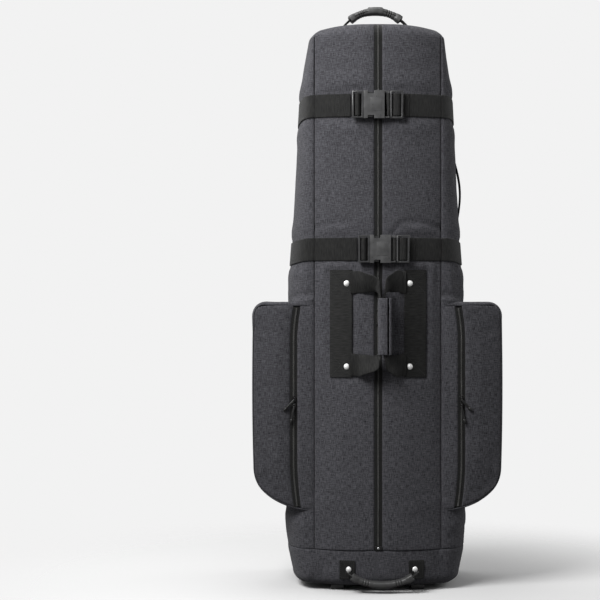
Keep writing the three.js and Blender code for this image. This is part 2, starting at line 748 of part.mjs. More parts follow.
const top = topHandle();
place("top_handle_webbing", top.webbing, webbing);
place("top_handle_grip", top.grip, rubber);
const base = baseHandle();
place("base_handle_webbing", base.webbing, webbing);
place("base_handle_grip", base.grip, rubber);
place("side_handle", sideHandle(), webbing);

for (const part of TUBES) place(part.name, tube(part), aluminium);
TUBES.slice(0, -1).forEach((part, i) => place(`rod_collar_${i + 1}`, collar(part, TUBES[i + 1]), rubber));
place("rod_foot", rodFoot(), rubber);
place("rod_dome", rodDome(), rubber);

export default golfCase;
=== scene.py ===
"""Looks of a soft golf travel case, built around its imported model: woven panels, webbing, zips, buckles,
handles, wheels and the support rod inside. Shapes are worked out in millimetres in the frame's own axes
(+Z up, the front faces -Y) and become metres where a mesh is made."""
import itertools
import math

import bmesh
import bpy
import numpy as np
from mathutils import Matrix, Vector


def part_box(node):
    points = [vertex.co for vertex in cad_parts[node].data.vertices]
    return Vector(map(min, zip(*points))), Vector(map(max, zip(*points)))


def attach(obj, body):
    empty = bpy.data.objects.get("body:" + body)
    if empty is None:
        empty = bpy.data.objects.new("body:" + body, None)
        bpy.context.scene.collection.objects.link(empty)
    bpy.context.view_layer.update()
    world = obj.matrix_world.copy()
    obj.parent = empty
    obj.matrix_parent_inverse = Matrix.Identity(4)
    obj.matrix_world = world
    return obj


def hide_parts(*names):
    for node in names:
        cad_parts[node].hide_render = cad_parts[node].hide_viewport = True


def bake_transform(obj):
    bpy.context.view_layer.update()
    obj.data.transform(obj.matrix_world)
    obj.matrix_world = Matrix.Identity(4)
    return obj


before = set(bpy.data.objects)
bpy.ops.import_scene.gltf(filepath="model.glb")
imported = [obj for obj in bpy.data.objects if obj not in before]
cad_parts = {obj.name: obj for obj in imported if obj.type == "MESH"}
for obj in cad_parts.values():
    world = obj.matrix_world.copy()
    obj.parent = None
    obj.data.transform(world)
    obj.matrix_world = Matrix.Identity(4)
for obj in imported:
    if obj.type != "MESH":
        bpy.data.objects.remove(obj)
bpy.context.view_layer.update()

MM = 0.001
TAU = 2 * math.pi
QUARTER = math.pi / 2
SIDES = {"left": -1, "right": 1}


# ---- Places, from the frame ----
def span(node):
    """A node's box in millimetres, as six numbers: x0, x1, y0, y1, z0, z1."""
    low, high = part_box(node)
    return [v for axis in range(3) for v in (low[axis] / MM, high[axis] / MM)]


FRONT_Y = -128  # crown of the front face
CROWN = 28  # how far the front seams lie behind the crown
SEAM_X = 142  # front seams, where the flaps hinge
SEAM_Y = FRONT_Y + CROWN
HINGE_Y = SEAM_Y - 3.2
WIDEST_Y = 12  # where the body is widest
MIDDLE_Y = 14  # where the rod stands
BASE_Z = 12
BOOT_Z = 92  # seam between the boot and the panels above it
CAP_Z = 1240  # seam between the side panels and the top
BACK_SEAM_Y = 108
TOP_ROUND = 30
TOP_SAG = 15  # how far the top falls from its middle to its sides
TOP_LEVEL = 1236  # where the top starts to round
BASE_ROUND = 22
ZIP_HALF = 8.5
WALL = 5.4  # padded panels
SEW_GAP = 0.3  # from a seam to each of the two panels that it joins
LEVEL_Z = [34, 80, 140, 650, 800, 1115, TOP_LEVEL]
LEVEL_HALF = [191, 201, 206, 201, 190, 172.5, 155]
LEVEL_BACK = [158, 162, 162, 162, 158, 144, 138]
STRAP_Z = {"upper": 1082, "lower": 762}
STRAP_HALF = 25.5
STRAP_SAG = 8
POCKET_BACK = 62
POCKET_ROUND = 14
POCKET_LEAN = 16  # how far the front of a pocket falls back at its outer edge
INSIDE = (0, MIDDLE_Y, 600)  # a point well inside the body


# ---- Camera, floor and light ----
BACKDROP = (0.888, 0.888, 0.888)
FILL = 0.3  # share of the backdrop's brightness that reaches the case
KEY_POWER = 95
FLOOR_SEEN = 0.62  # how pale the floor looks
FLOOR_BOUNCE = 0.18  # how much of its light it gives back to the case


def set_stage():
    """The camera, level and square to the front as in the photograph, with the world, floor and lights."""
    data = bpy.data.cameras.new("camera")
    data.sensor_width = 36
    distance = 3.4
    field = 1.332  # width that the picture covers at the front face, in metres
    data.lens = data.sensor_width * distance / field
    camera = bpy.data.objects.new("camera", data)
    camera.location = (-0.174, FRONT_Y * MM - distance, 0.649)
    camera.rotation_euler = (math.pi / 2, 0, 0)
    bpy.context.scene.collection.objects.link(camera)
    bpy.context.scene.camera = camera
    bpy.context.scene.view_settings.view_transform = "Standard"

    set_world()
    add_floor()
    add_light("key", (-1.3, -1.35, 2.3), (0, 0, 0.8), 1.5, KEY_POWER)
    add_light("rim", (-1.9, 1.3, 1.6), (0, 0, 0.7), 1.4, 14)
    add_light("top", (-0.3, 0.3, 3.0), (0, 0, 0.6), 1.6, 20)
    add_light("side", (2.5, 0.5, 1.5), (0, 0, 0.6), 1.5, 22)


def set_world():
    """A pale backdrop that gives only a soft fill, so the key light models the cloth."""
    world = bpy.data.worlds.new("studio")
    world.use_nodes = True
    nodes, links = world.node_tree.nodes, world.node_tree.links
    fill = nodes["Background"]
    fill.inputs["Color"].default_value = (*BACKDROP, 1)
    fill.inputs["Strength"].default_value = FILL
    seen = nodes.new("ShaderNodeBackground")
    seen.inputs["Color"].default_value = (*BACKDROP, 1)
    mix = nodes.new("ShaderNodeMixShader")
    ray = nodes.new("ShaderNodeLightPath")
    links.new(ray.outputs["Is Camera Ray"], mix.inputs[0])
    links.new(fill.outputs[0], mix.inputs[1])
    links.new(seen.outputs[0], mix.inputs[2])
    links.new(mix.outputs[0], nodes["World Output"].inputs[0])
    bpy.context.scene.world = world


def add_light(name, at, target, size, power):
    """A round area light that points at a target. Places and sizes are in metres."""
    data = bpy.data.lights.new(name, "AREA")
    data.shape = "DISK"
    data.size = size
    data.energy = power
    light = bpy.data.objects.new(name, data)
    light.location = at
    light.rotation_euler = (Vector(target) - Vector(at)).to_track_quat("-Z", "Y").to_euler()
    bpy.context.scene.collection.objects.link(light)


def add_floor():
    """A round pale floor that fades into the background."""
    sides, radius = 96, 6000
    angles = TAU * np.arange(sides) / sides
    rim = radius * np.stack([np.cos(angles), np.sin(angles), np.zeros(sides)], 1)
    floor = add_mesh("floor", rim, [tuple(range(sides))])
    s = Shade("floor_card", 1)
    from_camera = s.node("LightPath").outputs["Is Camera Ray"]
    seen = s.node("MapRange", {"Value": from_camera, "To Min": FLOOR_BOUNCE, "To Max": FLOOR_SEEN})
    s.links.new(seen.outputs["Result"], s.shader.inputs["Base Color"])
    out = s.node("VectorMath", {0: s.node("TexCoord").outputs["Object"]}, operation="LENGTH").outputs["Value"]
    fade = {"Value": out, "From Min": 0.3, "From Max": 1.1, "To Min": 1.0, "To Max": 0.0}
    fade = s.node("MapRange", fade, interpolation_type="SMOOTHSTEP")
    s.links.new(fade.outputs["Result"], s.shader.inputs["Alpha"])
    floor.data.materials.append(s.material)


# ---- Meshes ----
def add_mesh(name, points, faces, uvs=None):
    """An object from points in millimetres. uvs, one per point, are in millimetres too."""
    mesh = bpy.data.meshes.new(name)
    mesh.from_pydata((np.asarray(points, float) * MM).tolist(), [], faces)
    if uvs is not None:
        loops = np.empty(len(mesh.loops), int)
        mesh.loops.foreach_get("vertex_index", loops)
        layer = mesh.uv_layers.new(name="weave")
        layer.data.foreach_set("uv", (np.asarray(uvs)[loops] * MM).ravel())
    mesh.shade_smooth()
    obj = bpy.data.objects.new(name, mesh)
    bpy.context.scene.collection.objects.link(obj)
    return obj


def edit_mesh(obj, *steps):
    """Runs bmesh steps on an object's mesh."""
    bm = bmesh.new()
    bm.from_mesh(obj.data)
    for step in steps:
        step(bm)
    bm.to_mesh(obj.data)
    bm.free()
    return obj


def weld(bm):
    """Joins points that lie in the same place."""
    bmesh.ops.remove_doubles(bm, verts=bm.verts, dist=1e-6)


def face_outwards(obj):
    """Turns the faces of a closed mesh to the outside."""
    return edit_mesh(obj, lambda bm: bmesh.ops.recalc_face_normals(bm, faces=bm.faces))


def piece(obj, body, material, replaces=(), sharp=None):
    """Gives a finished mesh its material, its body and the nodes it stands for. A piece that is
    to bend between two bodies has no body here."""
    face_outwards(obj)
    if sharp:
        obj.data.set_sharp_from_angle(angle=math.radians(sharp))
    obj.data.materials.clear()
    obj.data.materials.append(material)
    if body:
        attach(obj, body)
    if replaces:
        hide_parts(*replaces)
    return obj


def grid_faces(rows, columns, closed=False):
    """Faces between the rows of a grid of points. closed joins its last column to its first."""
    faces = []
    for i in range(rows - 1):
        for j in range(columns if closed else columns - 1):
            k = (j + 1) % columns
            faces.append((i * columns + j, i * columns + k, (i + 1) * columns + k, (i + 1) * columns + j))
    return faces


def tube_faces(rows, columns):
    """Faces of a tube made of rings, with a cap at each end."""
    last = (rows - 1) * columns
    caps = [tuple(range(columns)), tuple(last + j for j in reversed(range(columns)))]
    return grid_faces(rows, columns, closed=True) + caps


def grid_normals(grid, inside, closed=False):
    """Unit normals of a grid of points, facing away from a point inside."""
    along = (np.roll(grid, -1, 1) - np.roll(grid, 1, 1)) / 2 if closed else np.gradient(grid, axis=1)
    normal = unit(np.cross(along, np.gradient(grid, axis=0)))
    return -normal if np.sum(normal * (grid - np.array(inside, float))) < 0 else normal


def unit(vectors):
    """The same directions with length 1."""
    return vectors / np.maximum(np.linalg.norm(vectors, axis=-1, keepdims=True), 1e-9)


def slab(name, outer, uv, thickness, inside, relief):
    """A closed sheet: the outer grid moved by relief along its normals, which face away from a point inside,
    and a copy behind it."""
    normal = grid_normals(outer, inside)
    rows, columns = outer.shape[:2]
    border = list(range(columns))
    border += [i * columns + columns - 1 for i in range(1, rows)]
    border += [(rows - 1) * columns + j for j in range(columns - 2, -1, -1)]
    border += [i * columns for i in range(rows - 2, 0, -1)]
    count = rows * columns
    rim = [(b, a, count + a, count + b) for a, b in zip(border, border[1:] + border[:1])]
    return two_skins(name, outer, uv, normal, relief, thickness, grid_faces(rows, columns), rim)


def two_skins(name, grid, uv, normal, relief, thickness, faces, rim):
    """A closed sheet from the faces of its outer skin and the rim that joins it to its inner one."""
    count = grid.shape[0] * grid.shape[1]
    skins = [grid + normal * relief[..., None], grid - normal * thickness]
    faces = faces + [tuple(count + v for v in reversed(face)) for face in faces] + rim
    points = np.concatenate([skin.reshape(-1, 3) for skin in skins])
    return add_mesh(name, points, faces, np.concatenate([uv.reshape(-1, 2)] * 2))


def stations(length, step, edges=(0, 0.5, 1.3, 2.4, 4, 6)):
    """Distances from 0 to length, close together near both ends and about a step apart between."""
    edges = np.array(edges, float)
    count = max(2, int(round((length - 2 * edges[-1]) / step)) + 1)
    middle = np.linspace(edges[-1], length - edges[-1], count)
    return np.concatenate([edges[:-1], middle, (length - edges[:-1])[::-1]])


def rolled(distance, width=5, depth=2.6):
    """How far a sewn edge turns down at a distance from its seam."""
    near = np.clip(1 - distance / width, 0, 1)
    return -depth * (1 - np.sqrt(np.maximum(0, 1 - near**2)))


def seam_pull(z):
    """How tightly the seams are drawn at a height: most above the upper strap, least low on the case."""
    return 0.34 + 0.18 * smooth(z, 130, 300) + 0.3 * smooth(z, STRAP_Z["upper"], STRAP_Z["upper"] + 50)


def waves(u, v, cell, seed):
    """Smooth random relief from -1 to 1, the same each run."""
    size = 64
    lattice = np.random.default_rng(seed).uniform(-1, 1, (size, size))
    a, b = (u * 0.86 + v * 0.5) / cell, (v * 0.86 - u * 0.5) / cell
    i, j = np.floor(a).astype(int), np.floor(b).astype(int)
    s, t = (x * x * x * (x * (x * 6 - 15) + 10) for x in (a - i, b - j))
    i, j, next_i, next_j = i % size, j % size, (i + 1) % size, (j + 1) % size
    low, high = (lattice[i, k] * (1 - s) + lattice[next_i, k] * s for k in (j, next_j))
    return low * (1 - t) + high * t


def cloth(uv, seed, size=1.0):
    """The uneven lie of padded fabric: long soft swells with smaller puckers on them."""
    u, v = uv[..., 0], uv[..., 1]
    swells = 1.5 * waves(u, v * 0.6, 120, seed) + 0.7 * waves(u, v * 0.8, 52, seed + 1)
    return size * (swells + 0.28 * waves(u, v, 21, seed + 2))


def smooth(x, low, high):
    """0 below low and 1 above high, with a smooth rise between them."""
    t = np.clip((x - low) / (high - low), 0, 1)
    return t * t * (3 - 2 * t)


def bump(x, width):
    """A smooth ridge, 1 where x is 0."""
    return np.exp(-((x / width) ** 2))


def under(x, low, high, soft=14):
    """1 inside a strip from low to high, falling to 0 over a soft edge."""
    return smooth(x, low - soft, low) * (1 - smooth(x, high, high + soft))


# ---- The body's outline ----
FRONT_STEPS = 60  # points from the front's middle to its seam


def half_outline(z, inset=0, steps=240):
    """The right half of the outline at one height, from the front's middle round to the back's middle."""
    half, back = np.interp(z, LEVEL_Z, LEVEL_HALF), np.interp(z, LEVEL_Z, LEVEL_BACK)
    x = np.linspace(0, SEAM_X, FRONT_STEPS, endpoint=False)
    a = np.linspace(0, QUARTER, steps)
    sin, cos = np.sin(a), np.clip(np.cos(a), 0, 1)
    front = np.stack([x, FRONT_Y + CROWN * (x / SEAM_X) ** 2], 1)
    corner = np.stack([SEAM_X + (half - SEAM_X) * sin**0.85, WIDEST_Y - (WIDEST_Y - SEAM_Y) * cos**0.85], 1)
    rear = np.stack([half * cos**0.45, WIDEST_Y + (back - WIDEST_Y) * sin**0.45], 1)
    curve = np.concatenate([front, corner[:-1], rear])
    if inset:
        along = unit(np.gradient(curve, axis=0))
        curve = curve + inset * np.stack([-along[:, 1], along[:, 0]], 1)
        curve[0, 0] = curve[-1, 0] = 0
    return curve


def lengths(curve):
    """Lengths along a curve to each of its points."""
    return np.concatenate([[0], np.cumsum(np.linalg.norm(np.diff(curve, axis=0), axis=1))])


def at_length(curve, distance):
    """Points at given lengths along a curve."""
    return along_run(distance, lengths(curve), curve)


def along_run(places, run, values):
    """Values given at lengths run, read at other places."""
    return np.stack([np.interp(places, run, column) for column in np.asarray(values, float).T], -1)


def resample(curve, fractions):
    """Points at given shares of a curve's whole length."""
    return at_length(curve, np.asarray(fractions) * lengths(curve)[-1])


def side_span(z, inset=0):
    """The half outline, and the lengths along it of the front seam, the back seam and its end."""
    curve = half_outline(z, inset)
    run = lengths(curve)
    back = np.interp(BACK_SEAM_Y, curve[FRONT_STEPS:, 1], run[FRONT_STEPS:])
    return curve, run[FRONT_STEPS], back, run[-1]


def top_sag(x):
    """How far the top lies below its middle."""
    return TOP_SAG * np.abs(x / SEAM_X) ** 3


def top_z(x):
    """Height of the top's own surface, away from its rounded edge."""
    return TOP_LEVEL + TOP_ROUND - top_sag(x)


def body_x(y, z):
    """Half width of the body at a depth behind the front seams."""
    curve = half_outline(z)[FRONT_STEPS:-FRONT_STEPS]
    return float(np.interp(y, curve[:, 1], curve[:, 0]))


def front_at(x):
    """Depth of the front face, as y."""
    return FRONT_Y + CROWN * (np.asarray(x, float) / SEAM_X) ** 2


# ---- Materials ----
class Shade:
    """A small hand for wiring one procedural material."""

    def __init__(self, name, roughness, sheen=0.0, metallic=0.0, specular=0.5):
        self.material = bpy.data.materials.new(name)
        self.material.use_nodes = True
        self.nodes = self.material.node_tree.nodes
        self.links = self.material.node_tree.links
        self.shader = self.nodes["Principled BSDF"]
        self.shader.inputs["Roughness"].default_value = roughness
        self.shader.inputs["Metallic"].default_value = metallic
        self.shader.inputs["Specular IOR Level"].default_value = specular
        self.shader.inputs["Sheen Weight"].default_value = sheen
        self.shader.inputs["Sheen Roughness"].default_value = 0.5

    def node(self, kind, inputs=(), **settings):
        node = self.nodes.new("ShaderNode" + kind)
        for key, value in settings.items():
            setattr(node, key, value)
        for key, value in dict(inputs).items():
            if isinstance(value, bpy.types.NodeSocket):
                self.links.new(value, node.inputs[key])
            else:
                node.inputs[key].default_value = value
        return node

    def math(self, operation, *values):
        return self.node("Math", dict(enumerate(values)), operation=operation).outputs[0]

    def place(self, flat=True):
        """A piece's own millimetres: along its cloth where flat, else in space."""
        source = self.node("TexCoord").outputs["UV" if flat else "Object"]
        return self.node("VectorMath", {0: source, 1: (1 / MM,) * 3}, operation="MULTIPLY").outputs[0]

    def noise(self, at, cell, stretch=(1, 1, 1), detail=2.0):
        scale = self.node("VectorMath", {0: at, 1: tuple(s / cell for s in stretch)}, operation="MULTIPLY")
        made = self.node("TexNoise", {"Vector": scale.outputs[0], "Scale": 1.0, "Detail": detail})
        return made.outputs["Fac"]

    def ramp(self, value, dark, light, low=0.3, high=0.7):
        node = self.node("ValToRGB", {"Fac": value})
        node.color_ramp.elements[0].position = low
        node.color_ramp.elements[0].color = (*dark, 1)
        node.color_ramp.elements[1].position = high
        node.color_ramp.elements[1].color = (*light, 1)
        return node.outputs["Color"]

    def mix(self, factor, a, b, blend="MIX"):
        node = self.node("Mix", data_type="RGBA", blend_type=blend)
        for socket, value in zip((node.inputs[0], node.inputs[6], node.inputs[7]), (factor, a, b)):
            if isinstance(value, bpy.types.NodeSocket):
                self.links.new(value, socket)
            else:
                socket.default_value = value if not isinstance(value, tuple) else (*value, 1)
        return node.outputs[2]

    def finish(self, colour, height=None, depth=0.2, strength=1.0, roughness=None):
        self.links.new(colour, self.shader.inputs["Base Color"])
        if roughness is not None:
            self.links.new(roughness, self.shader.inputs["Roughness"])
        if height is not None:
            bump = self.node("Bump", {"Height": height, "Strength": strength, "Distance": depth * MM})
            self.links.new(bump.outputs["Normal"], self.shader.inputs["Normal"])
        return self.material


def heather(name, tone=1.0):
    """Charcoal heathered polyester: a plain weave whose warp and weft threads each vary in shade."""
    s = Shade(name, 0.95, sheen=0.05, specular=0.15)
    at = s.place()
    axes = s.node("SeparateXYZ", {0: at})
    pitch = 1.1  # the weave's repeat, which is two threads
    thin = 0.13  # a thread's shade changes this much more slowly along it than across it
    across = s.math("SINE", s.math("MULTIPLY", axes.outputs[0], TAU / pitch))
    along = s.math("SINE", s.math("MULTIPLY", axes.outputs[1], TAU / pitch))
    weave = s.math("MULTIPLY_ADD", s.math("MULTIPLY", across, along), 0.5, 0.5)
    dark, light = [tuple(tone * c for c in shade) for shade in ((0.012, 0.012, 0.014), (0.097, 0.096, 0.107))]
    warp = s.ramp(s.noise(at, 1.6, (1, thin, 1), 1.5), dark, light)
    weft = s.ramp(s.noise(at, 1.6, (thin, 1, 1), 1.5), dark, light)
    thread = s.mix(s.math("GREATER_THAN", weave, 0.5), warp, weft)
    slub = s.ramp(s.noise(at, 70.0), (0.93, 0.93, 0.93), (1.05, 1.05, 1.05))
    colour = s.mix(1.0, thread, slub, "MULTIPLY")
    height = s.math("ADD", weave, s.math("MULTIPLY", s.noise(at, 3.4), 0.8))
    return s.finish(colour, height, 0.22, 0.8)


def webbing(name, tone=1.0, rib=1.5):
    """Black nylon webbing: ribs across it and fine ends along it."""
    s = Shade(name, 0.62, sheen=0.06, specular=0.16)
    at = s.place()
    axes = s.node("SeparateXYZ", {0: at})
    ribs = s.math("SINE", s.math("MULTIPLY", axes.outputs[1], TAU / rib))
    ends = s.math("SINE", s.math("MULTIPLY", axes.outputs[0], TAU / 2.4))
    height = s.math("MULTIPLY_ADD", s.math("MULTIPLY", ribs, ends), 0.3, s.math("MULTIPLY", ribs, 0.6))
    dark, light = [tuple(tone * c for c in shade) for shade in ((0.005, 0.005, 0.005), (0.02, 0.02, 0.0196))]
    thread = s.ramp(s.noise(at, 2.0, (0.12, 1, 1)), dark, light)
    wear = s.ramp(s.noise(at, 30.0), (0.88, 0.88, 0.88), (1.12, 1.12, 1.10))
    return s.finish(s.mix(1.0, thread, wear, "MULTIPLY"), height, 0.25, 0.9)


def moulded(name, base, roughness=0.45, grain=0.9, speck=0.25):
    """Moulded plastic or rubber with a fine spark grain and handling marks that change its gloss."""
    s = Shade(name, roughness)
    at = s.place(flat=False)
    tint = s.noise(at, 14.0, detail=3.0)
    dark = tuple(c * (1 - speck) for c in base)
    light = tuple(c * (1 + speck) for c in base)
    limits = {"To Min": roughness - 0.09, "To Max": roughness + 0.1}
    gloss = s.node("MapRange", {"Value": s.noise(at, 9.0), **limits})
    return s.finish(s.ramp(tint, dark, light), s.noise(at, grain, detail=3.0), 0.08, 0.5, gloss.outputs[0])


def drawn_metal(name, base, roughness=0.3, metallic=1.0):
    """Anodised or plated metal, drawn along Z."""
    s = Shade(name, roughness, metallic=metallic)
    at = s.place(flat=False)
    lines = s.noise(at, 0.5, (1, 1, 0.01), 2.0)
    gloss = s.node("MapRange", {"Value": lines, "To Min": roughness - 0.08, "To Max": roughness + 0.12})
    dark = tuple(c * 0.88 for c in base)
    return s.finish(s.ramp(lines, dark, base), lines, 0.02, 0.3, gloss.outputs[0])


HEATHER = heather("heather")
# painted shade: a darker copy of the heather that stands in for the shade on the pockets' fronts and bands
POCKET_SHADED_HEATHER = heather("heather_pocket_painted_shade", 0.86)
WRAP_HEATHER = heather("heather_wrap", 1.1)
WEBBING = webbing("webbing")
TAPE = webbing("zip_tape", 0.7, 0.9)
COIL = moulded("zip_coil", (0.040, 0.040, 0.038), 0.35, 0.5)
THREAD = moulded("thread", (0.022, 0.022, 0.023), 0.6, 0.4)
CORD = moulded("pull_cord", (0.006, 0.006, 0.006), 0.5, 0.4)
BUCKLE = moulded("buckle_nylon", (0.036, 0.036, 0.037), 0.3)
# painted highlight: a lighter copy of the buckle nylon that stands in for the gloss on the socket's plate and
# the tri-glide's bar
BUCKLE_HIGHLIGHT_NYLON = moulded("buckle_nylon_painted_highlight", (0.064, 0.064, 0.065), 0.3)
SLIDER = drawn_metal("slider_alloy", (0.055, 0.055, 0.055), 0.2)
PLASTIC = moulded("black_plastic", (0.018, 0.018, 0.018), 0.55)
RUBBER = moulded("soft_rubber", (0.044, 0.044, 0.044), 0.48, 0.7)
RUBBER_PAD = moulded("grip_pad", (0.05, 0.05, 0.05), 0.42, 1.2)
HUB = moulded("hub_plastic", (0.05, 0.05, 0.052), 0.5)
TUBE = drawn_metal("anodised_tube", (0.68, 0.68, 0.70), 0.3)
STEEL = drawn_metal("plated_steel", (0.55, 0.55, 0.56), 0.3)
# partly real nickel plating, partly painted reflection: a near-white colour at low metallic makes the caps
# read bright under the dim fill
RIVET = drawn_metal("rivet_nickel_painted_reflection", (0.97, 0.97, 0.96), 0.42, 0.35)


# ---- Padded panels of the body ----
PLEATS = ((122, 42, 2.2), (131, 60, -1.9), (96, 26, 1.2))  # place across a flap, height and depth
DRAG_LINES = ((16, 0.16, 2.6), (30, 0.3, -2.4), (47, 0.42, 2.0))  # place along a gusset, lean and depth


def strap_sag(beyond):
    """How far the straps hang at a distance beyond the front seams."""
    return STRAP_SAG * smooth(beyond, 0, 95)


def strap_relief(z, sag=0):
    """How the straps pull the padding in: nothing stands proud under them, and it swells beside them."""
    keep = np.ones_like(z)
    swell = np.zeros_like(z)
    z = z + sag
    for middle in STRAP_Z.values():
        off = np.abs(z - middle)
        keep = keep * (1 - under(z, middle - STRAP_HALF - 2, middle + STRAP_HALF + 2, 10))
        swell = swell + 2.2 * bump(off - 52, 17)
    return keep, swell


def flap_grid(side):
    """A flap's outer surface: upright from the boot, then over the top's edge to the hinge line."""
    across = stations(SEAM_X - SEW_GAP - ZIP_HALF, 5.5) + ZIP_HALF
    upright = stations(TOP_LEVEL - BOOT_Z - 2 * SEW_GAP, 5.5)
    upright = upright[: np.searchsorted(upright, upright[-1] - 6)] + BOOT_Z + SEW_GAP
    rows = [np.stack([across, front_at(across), np.full_like(across, z)], 1) for z in upright]
    inset = np.clip(HINGE_Y - front_at(across), 0.27, TOP_ROUND)
    reach = np.arccos(1 - inset / TOP_ROUND)
    inward = -front_normal(across)
    for share in (0, 0.08, 0.2, 0.34, 0.48, 0.62, 0.76, 0.88, 0.95, 0.98, 1):
        moved = TOP_ROUND * (1 - np.cos(reach * share))
        x = across + inward[:, 0] * moved
        z = TOP_LEVEL + (TOP_ROUND - top_sag(x)) * np.sin(reach * share)
        rows.append(np.stack([x, front_at(across) + inward[:, 1] * moved, z], 1))
    return np.array(rows) * (side, 1, 1)


def run_down(grid):
    """Millimetres down the columns of a grid of points."""
    steps = np.linalg.norm(np.diff(grid, axis=0), axis=2)
    return np.concatenate([np.zeros((1, grid.shape[1])), np.cumsum(steps, 0)])


def sheet_uv(grid):
    """Millimetres along the rows and down the columns of a grid of points."""
    return np.stack([run_down(grid.swapaxes(0, 1)).T, run_down(grid)], -1)


def border_distance(uv):
    """Distance of each grid point from the nearest edge of its sheet."""
    u, v = uv[..., 0], uv[..., 1]
    wide, tall = u[:, -1:], v[-1:, :]
    return np.minimum(np.minimum(u, wide - u), np.minimum(v, tall - v))


def topstitch(name, grid, relief, inside, lines, body, stitch=(4.6, 3.1, 0.4)):
    """Rows of stitches sewn into a panel along some of its grid's own lines."""
    normal = grid_normals(grid, inside)
    top = grid + normal * relief[..., None]
    sew(name, [stitch_row(top[line], normal[line], *stitch) for line in lines], body)


def padded_panel(name, thread, grid, relief, lines, body, node):
    """A finished panel of the body from its outer surface, topstitched along some of its grid's lines."""
    panel = slab(name, grid, sheet_uv(grid), WALL, INSIDE, relief)
    topstitch(thread, grid, relief, INSIDE, lines, body)
    return piece(panel, body, HEATHER, [node])


def front_flap(which, side):
    """A front flap, flat where the carry patch and the upper buckle lie on it."""
    grid = flap_grid(side)
    uv = sheet_uv(grid)
    x, z = np.abs(grid[..., 0]), grid[..., 2]
    edge = border_distance(uv)
    keep, swell = strap_relief(z)
    carry_patch_area = under(x, 55, 110, 8) * under(z, 475, 718, 10)
    buckle_area = under(x, 0, 66, 8) * under(z, 1045, 1120, 8)
    keep = keep * (1 - carry_patch_area) * (1 - buckle_area)
    raised = cloth(uv, 11 if side < 0 else 31) * smooth(edge, 2, 26) + swell * smooth(edge, 4, 40)
    raised += 2.2 * np.sin(np.pi * np.clip((x - ZIP_HALF) / (SEAM_X - ZIP_HALF), 0, 1)) ** 0.7
    relief = np.minimum((raised + fold_relief(side, x, z)) * keep, 5.5)
    relief += rolled(edge) * np.maximum(seam_pull(z), under(x, 0, 24, 10))
    lines = [np.s_[4:-1, -5], np.s_[4:-1, 4]]
    name, node = f"front_flap_fabric_{which}", f"front_flap_{which}"
    return padded_panel(name, f"{name}_thread", grid, relief, lines, f"{which}_flap", node)


def fold_relief(side, x, z):
    """Creases: an arched one above the lower strap, short upright ones under it and by the seams."""
    rise = 790 + 32 * smooth(x, 18, 58) - 12 * smooth(x, 90, SEAM_X)
    arch = -3.8 * bump(z - rise, 7) * smooth(x, 14, 40)
    pleats = sum(size * bump(x - at, 4.2) * bump(z - 722, tall) for at, tall, size in PLEATS)
    low = 1.1 * bump(z - 168 - 0.25 * x, 16) * smooth(x, 20, 90)
    return arch * (1.0 if side > 0 else 0.6) + pleats * (1.0 if side > 0 else 0.5) + low


def gusset_folds(across, z):
    """Upright drag lines between the lower strap and the pocket, and slack below the pocket."""
    folds = sum(size * bump(across - at - lean * (736 - z), 5.5) for at, lean, size in DRAG_LINES)
    low = 2.0 * bump(z - 138 - 0.3 * across, 10) - 1.6 * bump(z - 112 - 0.2 * across, 8)
    return folds * under(z, 655, 728, 24) + low * smooth(across, 4, 30) * (1 - smooth(across, 120, 180))


def pocket_pinch(across, z):
    """Where a pocket's top is sewn into the side: a ridge rising to the seam, and a hollow above it."""
    level = z + 0.1 * across
    ridge = 6.0 * bump(level - 650, 5) * under(across, 8, 60, 12)
    return ridge - 3.8 * bump(level - 662, 6) * under(across, 8, 80, 12)


def side_gusset(which, side):
    """A side of the body, from its front seam to its back seam."""
    heights = stations(CAP_Z - BOOT_Z - 2 * SEW_GAP, 7) + BOOT_Z + SEW_GAP
    wide = stations(230, 7)
    rows = []
    for z in heights:
        curve, seam, back, _ = side_span(z)
        flat = at_length(curve, seam + SEW_GAP + (back - seam - 2 * SEW_GAP) * wide / wide[-1])
        rows.append(np.column_stack([flat * (side, 1), np.full(len(wide), z)]))
    grid = np.array(rows)
    uv = sheet_uv(grid)
    across, z = uv[..., 0], grid[..., 2]
    keep, swell = strap_relief(z, strap_sag(across))
    edge = border_distance(uv)
    clear = smooth(z, 640, 668) + 1 - smooth(z, 150, 172)  # of the pocket
    raised = cloth(uv, 51 if side < 0 else 71, 0.9) * smooth(edge, 2, 26) + swell * smooth(edge, 4, 40)
    raised += gusset_folds(across, z) * (1 if side > 0 else 0.6) + 1.6 * smooth(edge, 0, 70)
    relief = raised * keep * clear + rolled(edge) * seam_pull(z) + pocket_pinch(across, z)
    over_pocket = int(np.searchsorted(heights, 660))
    lines = [np.s_[over_pocket:-4, 4], np.s_[4:-4, -5]]
    name, node = f"side_gusset_fabric_{which}", f"side_gusset_{which}"
    return padded_panel(name, f"{name}_thread", grid, relief, lines, "case", node)


def back_panel():
    """The back, from one back seam to the other, flat where the kick plate lies on it."""
    heights = stations(CAP_Z - BOOT_Z - 2 * SEW_GAP, 8) + BOOT_Z + SEW_GAP
    wide = stations(420, 8)
    share = wide / wide[-1]
    rows = []
    for z in heights:
        curve, _, back, end = side_span(z)
        reach = (end - back - SEW_GAP) * np.minimum(1, 2 * np.minimum(share, 1 - share))
        half = at_length(curve, back + SEW_GAP + reach)
        sign = np.where(share < 0.5, 1, -1)
        rows.append(np.stack([half[:, 0] * sign, half[:, 1], np.full_like(share, z)], 1))
    grid = np.array(rows)
    uv = sheet_uv(grid)
    x, z = np.abs(grid[..., 0]), grid[..., 2]
    keep, swell = strap_relief(z, STRAP_SAG)
    kick_plate = under(x, 0, 96, 10) * under(z, 98, 332, 10)
    edge = border_distance(uv)
    raised = cloth(uv, 91) * smooth(edge, 2, 26) + swell
    relief = raised * keep * (1 - kick_plate) - 0.4 * kick_plate + rolled(edge)
    lines = [np.s_[4:-4, 4], np.s_[4:-4, -5]]
    return padded_panel("back_panel_fabric", "back_panel_thread", grid, relief, lines, "case", "back_panel")


